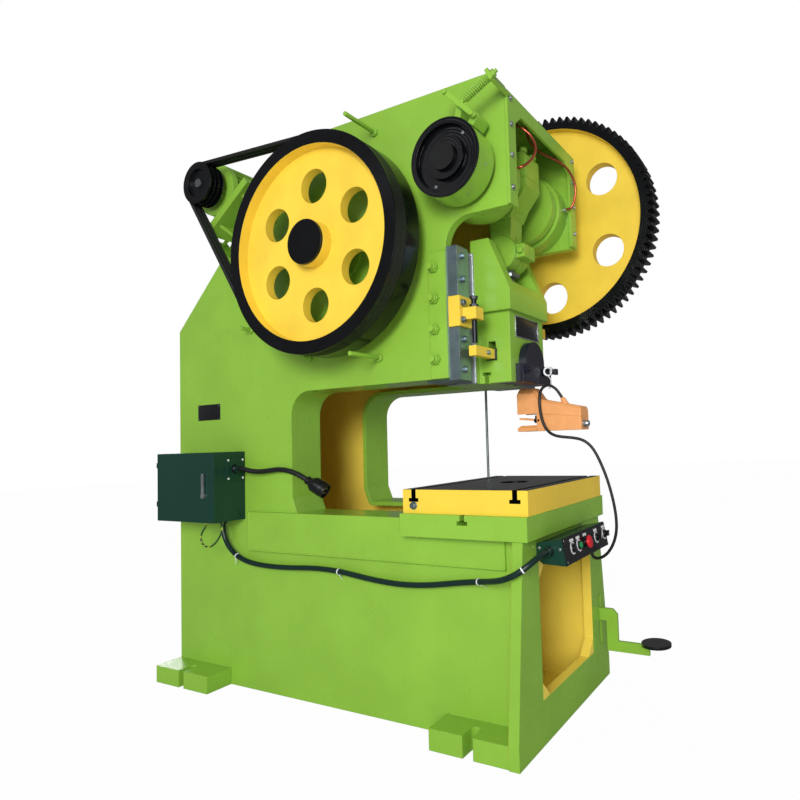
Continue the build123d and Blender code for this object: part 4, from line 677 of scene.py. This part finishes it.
SWITCH_CORD = [tuple(SWITCH_GLAND + GLAND_WAY * reach) for reach in (0.032, 0.05)] + millimetres([
    (86, -862, 1282), (72, -838, 1298), (50, -818, 1286), (34, -812, 1256), (29, -812, 1220),
    (28, -816, 1182), (28, -824, 1144), (32, -840, 1108), (48, -862, 1086), (66, -896, 1078),
    (78, -936, 1074), (86, -976, 1064), (90, -1008, 1038), (93, -1030, 1000), (96, -1049, 955),
    (99, -1066, 905), (102, -1080, 850), (105, -1090, 795), (107, -1095, 742), (109, -1092, 692),
    (110, -1078, 648), (110, -1054, 610), (110, -1024, 588), (110, -998, 585), (110, -985, 598),
    (110, -985, 608.5),
])
LEFT_PIPE = millimetres([
    (-170, -790, 2414), (-170, -790, 2372), (-180, -806, 2330), (-178, -840, 2296), (-160, -878, 2272),
    (-146, -908, 2236), (-150, -922, 2190), (-176, -922, 2146), (-214, -916, 2108), (-238, -904, 2088),
    (-240, -890, 2086), (-240, -864, 2086),
])
RIGHT_PIPE = millimetres([
    (40, -790, 2414), (40, -790, 2374), (62, -800, 2330), (98, -824, 2300), (142, -862, 2284),
    (186, -900, 2262), (222, -920, 2226), (242, -928, 2180), (248, -922, 2136), (246, -908, 2096),
    (244, -892, 2086), (244, -864, 2086),
])
HOOK = millimetres([
    (90, -838, 1362), (101, -839, 1361), (102, -841, 1339), (79, -843, 1339), (78, -846, 1360),
    (90, -850, 1362), (80, -853, 1366), (72, -848, 1370), (61, -830, 1369), (58, -822, 1352),
    (61, -829, 1335), (70, -848, 1335), (74, -855, 1352), (69, -846, 1368), (60, -829, 1364),
    (59, -825, 1346), (66, -840, 1333), (76, -846, 1322), (84, -845, 1308), (86, -842, 1296),
    (79, -841, 1283), (72, -840, 1280), (66, -839, 1285),
])

# Turned profiles, as distances along an axis and from it. The plug has a gland nut, a cone, a ribbed grip,
# a collar and the recessed mouth of an industrial connector.
PLUG = millimetres([
    (0, 10.5), (0, 16.5), (4, 17.5), (13, 17.5), (15, 16), (18, 19), (34, 30), (40, 32.5), (46, 33.5),
    (48, 31.5), (52, 31.5), (54, 33.5), (60, 33.5), (62, 31.5), (66, 31.5), (68, 33.8), (84, 33.8),
    (86, 32.2), (90, 32.2), (92, 33.8), (101, 33.8), (102, 32.8), (102, 28.5), (78, 28), (78, 0.1),
])
SWITCH_NECK = millimetres([
    (-12, 0.5), (-12, 13), (8, 13), (10, 11.2), (14, 11.2), (16, 12.2), (20, 12.2), (32, 8.5), (32, 6.2),
])
SWITCH_CAP = millimetres([
    (0, 0.5), (0, 15), (5, 15), (6, 12), (10, 12), (11, 14), (18, 13.5), (24, 10), (26, 5), (26, 0.5),
])
MUSHROOM = millimetres([
    (-10, 0.5), (-10, 7.8), (9.5, 7.8), (10, 21.5), (12, 23.5), (15.5, 23.5), (18, 21.5), (19.8, 15),
    (20.4, 7), (20.5, 0.5),
])
BUTTON_RING = millimetres([(0, 15.5), (0, 17.8), (2, 17.8), (3, 17), (3, 15.7), (0, 15.5)])
LEGEND_RING = millimetres([(0, 17.9), (0, 22.5), (1.2, 22.5), (1.2, 17.9), (0, 17.9)])


class PRESS_OT_power_lead(bpy.types.Operator):
    """Run the power lead from the cabinet's socket plate to its plug on the ledge."""

    bl_idname = "press.power_lead"
    bl_label = "Power lead and plug"

    def execute(self, context):
        radius = context.scene.press_sizes.cable
        lead = line("power_lead_sheath", POWER_LEAD, radius, "rubber")
        dressed(lead, "frame", "power_lead")
        end = Vector(POWER_LEAD[-1])
        way = (end - Vector(POWER_LEAD[-2])).normalized()
        place = facing(end, way)
        bm = bmesh.new()
        turned(bm, place, PLUG)
        for i in range(12):
            disc(bm, place @ spun(30 * i) @ shift(0.0165, 0, 0.002), 0.0016, 0.011, 8)
        plug = finish_piece("lead_plug", bm, "black", "frame", replaced="power_plug")
        bm = bmesh.new()
        for i in range(4):
            disc(bm, place @ spun(90 * i + 45) @ shift(0.014, 0, 0.078), 0.0035, 0.02, 16, 0.0008)
        pins = bright_piece("plug_pins", bm)
        return {"FINISHED"}


class PRESS_OT_conduit(bpy.types.Operator):
    """Run the wiring hose from the cabinet to the control box, with its ties, and the earth wire's loop."""

    bl_idname = "press.conduit"
    bl_label = "Wiring hose and earth wire"

    def execute(self, context):
        radius = context.scene.press_sizes.cable
        hose = dressed(line("wiring_hose", CONDUIT, radius, "hose"), "frame", "conduit")
        points = trace(hose)
        for number, wanted in enumerate(((-0.35, 0.55), (-0.346, -0.06), (-0.36, -0.735), (-0.405, -0.93))):
            apart = [(point.xy - Vector(wanted)).length for point in points[2:-2]]
            nearest = apart.index(min(apart)) + 2
            way = (points[nearest + 2] - points[nearest - 2]).normalized()
            place = facing(points[nearest], way)
            bm = bmesh.new()
            low, high = radius + 0.0001, radius + 0.0014
            corners = [(-0.0025, low), (-0.0025, high), (0.0025, high), (0.0025, low), (-0.0025, low)]
            turned(bm, place, corners, 32)
            side = place @ spun(-90 + 20 * number)
            cuboid(bm, (0.007, 0.006, 0.006), side @ shift(radius + 0.004, 0, 0))
            tail = side @ shift(radius + 0.018, 0.004, 0) @ Matrix.Rotation(0.35, 4, "Z")
            cuboid(bm, (0.034, 0.0016, 0.0035), tail)
            finish_piece(f"hose_tie_{number + 1}", bm, "white", "frame")
        wire = line("earth_wire_loop", EARTH_WIRE, 0.004, "earth")
        dressed(wire, "frame", "earth_wire")
        return {"FINISHED"}


class PRESS_OT_switch_cord(bpy.types.Operator):
    """Loop the foot switch's cord through its wire hook and down to the control box."""

    bl_idname = "press.switch_cord"
    bl_label = "Foot switch cord and hook"

    def execute(self, context):
        radius = context.scene.press_sizes.switch_cord
        route = line("switch_cord_route", SWITCH_CORD, radius, "rubber")
        path = trace(route)
        mesh = bpy.data.meshes.new_from_object(route.evaluated_get(context.evaluated_depsgraph_get()))
        mesh.name = "switch_cord"
        mesh.materials.clear()
        mesh.materials.append(MATERIALS["rubber"])
        cord = placed("switch_cord", mesh)
        bpy.data.objects.remove(route)
        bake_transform(cord)
        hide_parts("foot_switch_cord")
        dressed(line("hook_wire", HOOK, 0.0024, "wire"), "slide_body", "wire_hook")
        return {"FINISHED"}


def skinned(bm, rings, closed=True):
    """Skins between rings of points. Closed rings are capped at both ends."""
    loops = [[bm.verts.new(point) for point in ring] for ring in rings]
    faces = [bm.faces.new((a[i - 1], a[i], b[i], b[i - 1]))
             for a, b in zip(loops, loops[1:]) for i in range(0 if closed else 1, len(a))]
    if closed:
        faces += [bm.faces.new(loops[0][::-1]), bm.faces.new(loops[-1])]
    return faces


def hood_ring(y, low, high, half, chamfer):
    """A section across the foot switch, from one lower edge over its chamfered top to the other."""
    left, right = 0.09 - half, 0.09 + half
    return [(left, y, low), (left, y, high - chamfer), (left + chamfer, y, high), (right - chamfer, y, high),
            (right, y, high - chamfer), (right, y, low)]


class PRESS_OT_foot_switch(bpy.types.Operator):
    """Cast the foot switch's body and hood, its sole, hinge block and cable glands."""

    bl_idname = "press.foot_switch"
    bl_label = "Foot switch"

    def execute(self, context):
        bm = bmesh.new()
        skinned(bm, [hood_ring(y, 1.106, high, half, chamfer) for y, high, half, chamfer in (
            (-0.9850, 1.1960, 0.041, 0.010), (-0.9800, 1.2005, 0.045, 0.010), (-0.8120, 1.2370, 0.045, 0.011),
            (-0.8040, 1.2420, 0.045, 0.014), (-0.7900, 1.2660, 0.045, 0.020))])
        # the hood stands open below and behind, with a 5 mm wall
        shell = skinned(bm, [hood_ring(y, 1.178, high, half, chamfer) for y, high, half, chamfer in (
            (-0.7900, 1.2660, 0.045, 0.020), (-0.7750, 1.2860, 0.045, 0.024), (-0.7120, 1.2900, 0.045, 0.024),
            (-0.7000, 1.2820, 0.043, 0.022))], closed=False)
        bmesh.ops.recalc_face_normals(bm, faces=shell)
        bmesh.ops.solidify(bm, geom=shell, thickness=0.005)
        rings = []
        for z, inset in ((1.106, 0.002), (1.109, 0.0), (1.119, 0.0), (1.131, 0.012)):
            left, right, rear = 0.045 + inset, 0.135 - inset, -0.700 - inset
            rings.append([(left, -0.792, z), (right, -0.792, z), (right, rear, z), (left, rear, z)])
        skinned(bm, rings)
        for side in (-1, 1):
            x = 0.09 + side * 0.0445
            skinned(bm, [[(x, y, z), (x + side * 0.0017, y, z + 0.001), (x + side * 0.0017, y, z + 0.004),
                          (x, y, z + 0.005)] for y, z in ((-0.984, 1.158), (-0.792, 1.178))])
        turned(bm, facing(SWITCH_GLAND, GLAND_WAY), SWITCH_NECK, 32)
        finish_piece("foot_switch_casting", bm, "orange", "slide_body", 32,
                     "foot_switch_base")
        bm = bmesh.new()
        slab(bm, (0.056, -0.7905, 1.139), (0.124, -0.776, 1.172), 0.003)
        disc(bm, facing((0.050, -0.784, 1.150), X), 0.010, 0.080, 24, 0.001)
        finish_piece("foot_switch_hinge", bm, "black", "foot_pedal_body")
        bm = bmesh.new()
        turned(bm, facing((0.075, -0.9848, 1.130), -Y), SWITCH_CAP, 32)
        bright_piece("foot_switch_gland", bm, "slide_body")
        return {"FINISHED"}


class PRESS_OT_oil_pipes(bpy.types.Operator):
    """Bend the copper oil pipes from the top plate to the nipples on the crank bearings."""

    bl_idname = "press.oil_pipes"
    bl_label = "Oil pipes"

    def execute(self, context):
        radius = context.scene.press_sizes.oil_pipe
        bm = bmesh.new()
        for side, points, replaced in (("left", LEFT_PIPE, "oil_pipes"), ("right", RIGHT_PIPE, None)):
            dressed(line(f"oil_pipe_{side}", points, radius, "copper"), "frame", replaced)
            place = facing(points[-1], -Y)
            hexagon(bm, place, 0.014, 0.007, bevel=0.0006)
            disc(bm, place @ shift(0, 0, 0.007), 0.0055, 0.007, 16, 0.0006)
        bright_piece("oil_nipples", bm)
        return {"FINISHED"}


class PRESS_OT_bolts(bpy.types.Operator):
    """Set the cover's, gibs', bolster's and guard's bolts with chamfered heads."""

    bl_idname = "press.bolts"
    bl_label = "Bolts and studs"

    def execute(self, context):
        cover = bmesh.new()
        gib = bmesh.new()
        for side in (-1, 1):
            for z in (1.990, 2.110, 2.225, 2.322):
                hexagon(cover, facing((side * 0.300, -0.892, z), -Y), 0.015, 0.006, 0.0012)
            for z in (1.345, 1.460, 1.690, 1.780):
                hexagon(gib, facing((side * 0.283, -0.656, z), -Y), 0.021, 0.010, 0.002)
            for z in (1.530, 1.594):
                hexagon(gib, facing((side * 0.311, -0.668, z), -Y), 0.019, 0.010, 0.002)
            hexagon(gib, facing((side * 0.365, -0.460, 0.840), side * X), 0.022, 0.010, 0.002)
        finish_piece("gib_bolts", gib, "gib", "frame", replaced="frame_bolts")
        bright_piece("cover_bolts", cover)
        bar = bmesh.new()
        for side in (-1, 1):
            hexagon(bar, facing((side * 0.212, -0.716, 1.412), -Y), 0.013, 0.007, 0.0015, 0.0008)
        finish_piece("bar_bolts", bar, "gib", "knockout_body")
        nut = bmesh.new()
        spot = shift(0, CRANK[0], 1.7462) @ spun(20)
        disc(nut, spot, 0.050, 0.0188, 6, 0.002)
        finish_piece("ball_screw_nut", nut, "ground", "con_rod_body")
        studs = bmesh.new()
        for y, z, reach in ((-0.279, 2.346, 0.175), (-0.279, 1.420, 0.175), (0.466, 1.617, 0.060),
                            (0.105, 1.455, 0.040)):
            place = facing((-0.322, y, z), -X)
            disc(studs, place, 0.009, reach, 24, 0.0015)
            hexagon(studs, place, 0.030, 0.012)
        for side in (-1, 1):
            for z in (1.387, 1.502, 1.620, 1.740):
                hexagon(studs, facing((side * 0.3445, -0.558, z), side * X), 0.030, 0.008)
                disc(studs, facing((side * 0.3525, -0.558, z), side * X), 0.0105, 0.007, 20, 0.0015)
        finish_piece("guard_studs", studs, "green", "frame")
        return {"FINISHED"}


class PRESS_OT_brake(bpy.types.Operator):
    """Wind the brake's spring, rivet its band and screw its drum."""

    bl_idname = "press.brake"
    bl_label = "Brake details"

    def execute(self, context):
        start = Vector((-0.431, -0.755, 2.275))
        way = (Vector((-0.431, -0.911, 2.352)) - start).normalized()
        place = facing(start + way * 0.023, way)
        turns, length, radius = 13, 0.112, 0.0145
        points = []
        for i in range(turns * 8 + 1):
            angle = 2 * math.pi * i / 8
            along = length * i / (turns * 8)
            points.append(tuple(place @ Vector((radius * math.cos(angle), radius * math.sin(angle), along))))
        spring = line("brake_coil", points, 0.0022, "green", order=4, sides=2)
        spring.data.resolution_u = 3
        dressed(spring, "frame", "brake_spring")
        rivets = bmesh.new()
        for i in range(7):
            angle = math.radians(145 + i * 50)
            way = Vector((0, math.cos(angle), math.sin(angle)))
            spot = Vector((-0.398, CRANK[0], CRANK[1])) + way * 0.1418
            disc(rivets, facing(spot, way), 0.0045, 0.0016, 12, 0.0006)
        bright_piece("band_rivets", rivets)
        screws = bmesh.new()
        for angle in (133, 297):
            way = math.radians(angle)
            spot = (-0.439, CRANK[0] + 0.105 * math.cos(way), CRANK[1] + 0.105 * math.sin(way))
            disc(screws, facing(spot, -X), 0.0065, 0.0035, 16, 0.0012)
        bright_piece("drum_screws", screws, "crankshaft_body")
        return {"FINISHED"}


class PRESS_OT_plates(bpy.types.Operator):
    """Rivet two bare plates to the press, with nothing written on them."""

    bl_idname = "press.plates"
    bl_label = "Bare plates"

    def execute(self, context):
        plate = bmesh.new()
        slab(plate, (-0.102, -0.7835, 1.485), (0.100, -0.782, 1.564), 0.0004)
        finish_piece("slide_plate", plate, "panel", "slide_body")
        rim = bmesh.new()
        for left, right, foot, top in ((-0.106, 0.104, 1.481, 1.485), (-0.106, 0.104, 1.564, 1.568),
                                       (-0.106, -0.102, 1.485, 1.564), (0.100, 0.104, 1.485, 1.564)):
            slab(rim, (left, -0.785, foot), (right, -0.782, top), 0.0006)
        bright_piece("slide_plate_rim", rim, "slide_body")
        side = bmesh.new()
        slab(side, (-0.3236, 0.690, 1.215), (-0.322, 0.850, 1.290), 0.0005)
        finish_piece("side_plate_label", side, "panel", "frame")
        pins = bmesh.new()
        for y in (0.697, 0.843):
            for z in (1.222, 1.283):
                disc(pins, facing((-0.3236, y, z), -X), 0.0028, 0.001, 12, 0.0004)
        bright_piece("side_plate_pins", pins)
        return {"FINISHED"}


class PRESS_OT_controls(bpy.types.Operator):
    """Dress the control panel and the cabinet with screws, rings, knob lines and a gland."""

    bl_idname = "press.controls"
    bl_label = "Control details"

    def execute(self, context):
        top, foot = Vector((0, -1.015, 0.725)), Vector((0, -1.033, 0.631))
        up = (top - foot).normalized()
        out = X.cross(up)
        middle = (top + foot) / 2

        def on_panel(x, lift, proud):
            return middle + X * x + up * lift + out * (0.003 + proud)

        screws = bmesh.new()
        for x in (-0.258, 0.163):
            for lift in (-0.037, 0.037):
                disc(screws, facing(on_panel(x, lift, 0), out), 0.0042, 0.0018, 16, 0.0006)
        for y, z in ((-0.932, 0.690), (-1.011, 0.688)):
            disc(screws, facing((-0.270, y, z), -X), 0.0055, 0.0025, 16, 0.0008)
        bright_piece("panel_screws", screws)
        rings = bmesh.new()
        marks = bmesh.new()
        for x in (-0.190, -0.130, 0.055, 0.145):
            spot = facing(on_panel(x, 0.002, 0), out)
            turned(rings, spot, BUTTON_RING, 40)
            turned(marks, spot, LEGEND_RING, 32)
        bright_piece("button_rings", rings)
        square = Matrix((X, up, out)).transposed().to_4x4()
        for x in (-0.190, -0.130, -0.060, 0.055, 0.145):
            cuboid(marks, (0.034, 0.010, 0.0008), shift(*on_panel(x, 0.030, 0)) @ square)
        finish_piece("panel_tags", marks, "white", "frame")
        red = bmesh.new()
        turned(red, facing(on_panel(-0.060, 0.002, 0.002), out), MUSHROOM)
        finish_piece("mushroom_button", red, "red", "button_red_body", 40, "button_red")
        for name, x in (("left", 0.055), ("right", 0.145)):
            bm = bmesh.new()
            turn = square @ spun(60)
            cuboid(bm, (0.018, 0.0016, 0.0008), shift(*on_panel(x, 0.002, 0.0232)) @ turn)
            finish_piece(f"knob_line_{name}", bm, "white", f"selector_{name}_body")
        socket = bmesh.new()
        for x in (-0.411, -0.337):
            for z in (0.943, 1.025):
                disc(socket, facing((x, 0.520, z), -Y), 0.005, 0.0022, 16, 0.0008)
        finish_piece("socket_screws", socket, "white", "frame")
        gland = bmesh.new()
        for spot, way, size in (((-0.374, 0.520, 0.985), -Y, 0.021), ((-0.270, -0.968, 0.680), -X, 0.019),
                                ((-0.350, 0.640, 0.755), -Z, 0.021)):
            place = facing(spot, way)
            turned(gland, place, [(0.0, 0.0171), (0.0, size), (0.010, size), (0.012, size - 0.002),
                                  (0.018, size - 0.003), (0.0205, size - 0.006), (0.0205, 0.0113)], 12)
        finish_piece("cable_glands", gland, "black", "frame", 25)
        return {"FINISHED"}


class PRESS_OT_welds(bpy.types.Operator):
    """Lay weld beads where the frame's plates meet."""

    bl_idname = "press.welds"
    bl_label = "Weld beads"

    def execute(self, context):
        radius = context.scene.press_sizes.weld
        sunk = radius * 0.55
        runs = []
        for side in (-1, 1):
            x, doubled = side * (0.322 - sunk), side * (0.332 - sunk)
            runs += [
                [(x, -0.8795, 0.08), (x, -0.8795, 0.722)],
                [(doubled, -0.826, 0.618), (doubled, 0.493, 0.618)],
                [(doubled, 0.493, 0.618), (doubled, 0.493, 0.788)],
                [(x, -0.875, 0.076), (x, -0.563, 0.076)],
                [(x, 0.633, 0.076), (x, 0.987, 0.076)],
            ]
        for number, ends in enumerate(runs):
            start, end = [Vector(spot) for spot in ends]
            count = max(4, int((end - start).length / 0.012))
            points = [start.lerp(end, i / count) for i in range(count + 1)]
            curve, bead = rod(f"weld_{number + 1}", "POLY", points, radius, "green", 2)
            for i, point in enumerate(bead.points):
                point.radius = 1.0 + 0.14 * math.sin(i * 2.4 + number)
            dressed(placed(curve.name, curve), "frame")
        return {"FINISHED"}


OPERATORS = (PRESS_OT_stage, PRESS_OT_paint, PRESS_OT_power_lead, PRESS_OT_conduit, PRESS_OT_switch_cord,
             PRESS_OT_foot_switch, PRESS_OT_oil_pipes, PRESS_OT_bolts, PRESS_OT_brake, PRESS_OT_plates,
             PRESS_OT_controls, PRESS_OT_welds)


class PRESS_PT_looks(bpy.types.Panel):
    """Lists the steps that dress the press."""

    bl_idname = "PRESS_PT_looks"
    bl_label = "Stamping press"
    bl_space_type = "VIEW_3D"
    bl_region_type = "UI"
    bl_category = "Press"

    def draw(self, context):
        layout = self.layout
        for step in OPERATORS:
            layout.operator(step.bl_idname)
        for group in (context.scene.press_colours, context.scene.press_sizes):
            for name in group.__annotations__:
                layout.prop(group, name)


CLASSES = (PressColours, PressSizes, *OPERATORS, PRESS_PT_looks)


def register():
    for cls in CLASSES:
        bpy.utils.register_class(cls)
    bpy.types.Scene.press_colours = bpy.props.PointerProperty(type=PressColours)
    bpy.types.Scene.press_sizes = bpy.props.PointerProperty(type=PressSizes)


def unregister():
    del bpy.types.Scene.press_colours
    del bpy.types.Scene.press_sizes
    for cls in reversed(CLASSES):
        bpy.utils.unregister_class(cls)


def main():
    register()
    for step in OPERATORS:
        getattr(bpy.ops.press, step.bl_idname.split(".")[1])()


if __name__ == "__main__":
    main()
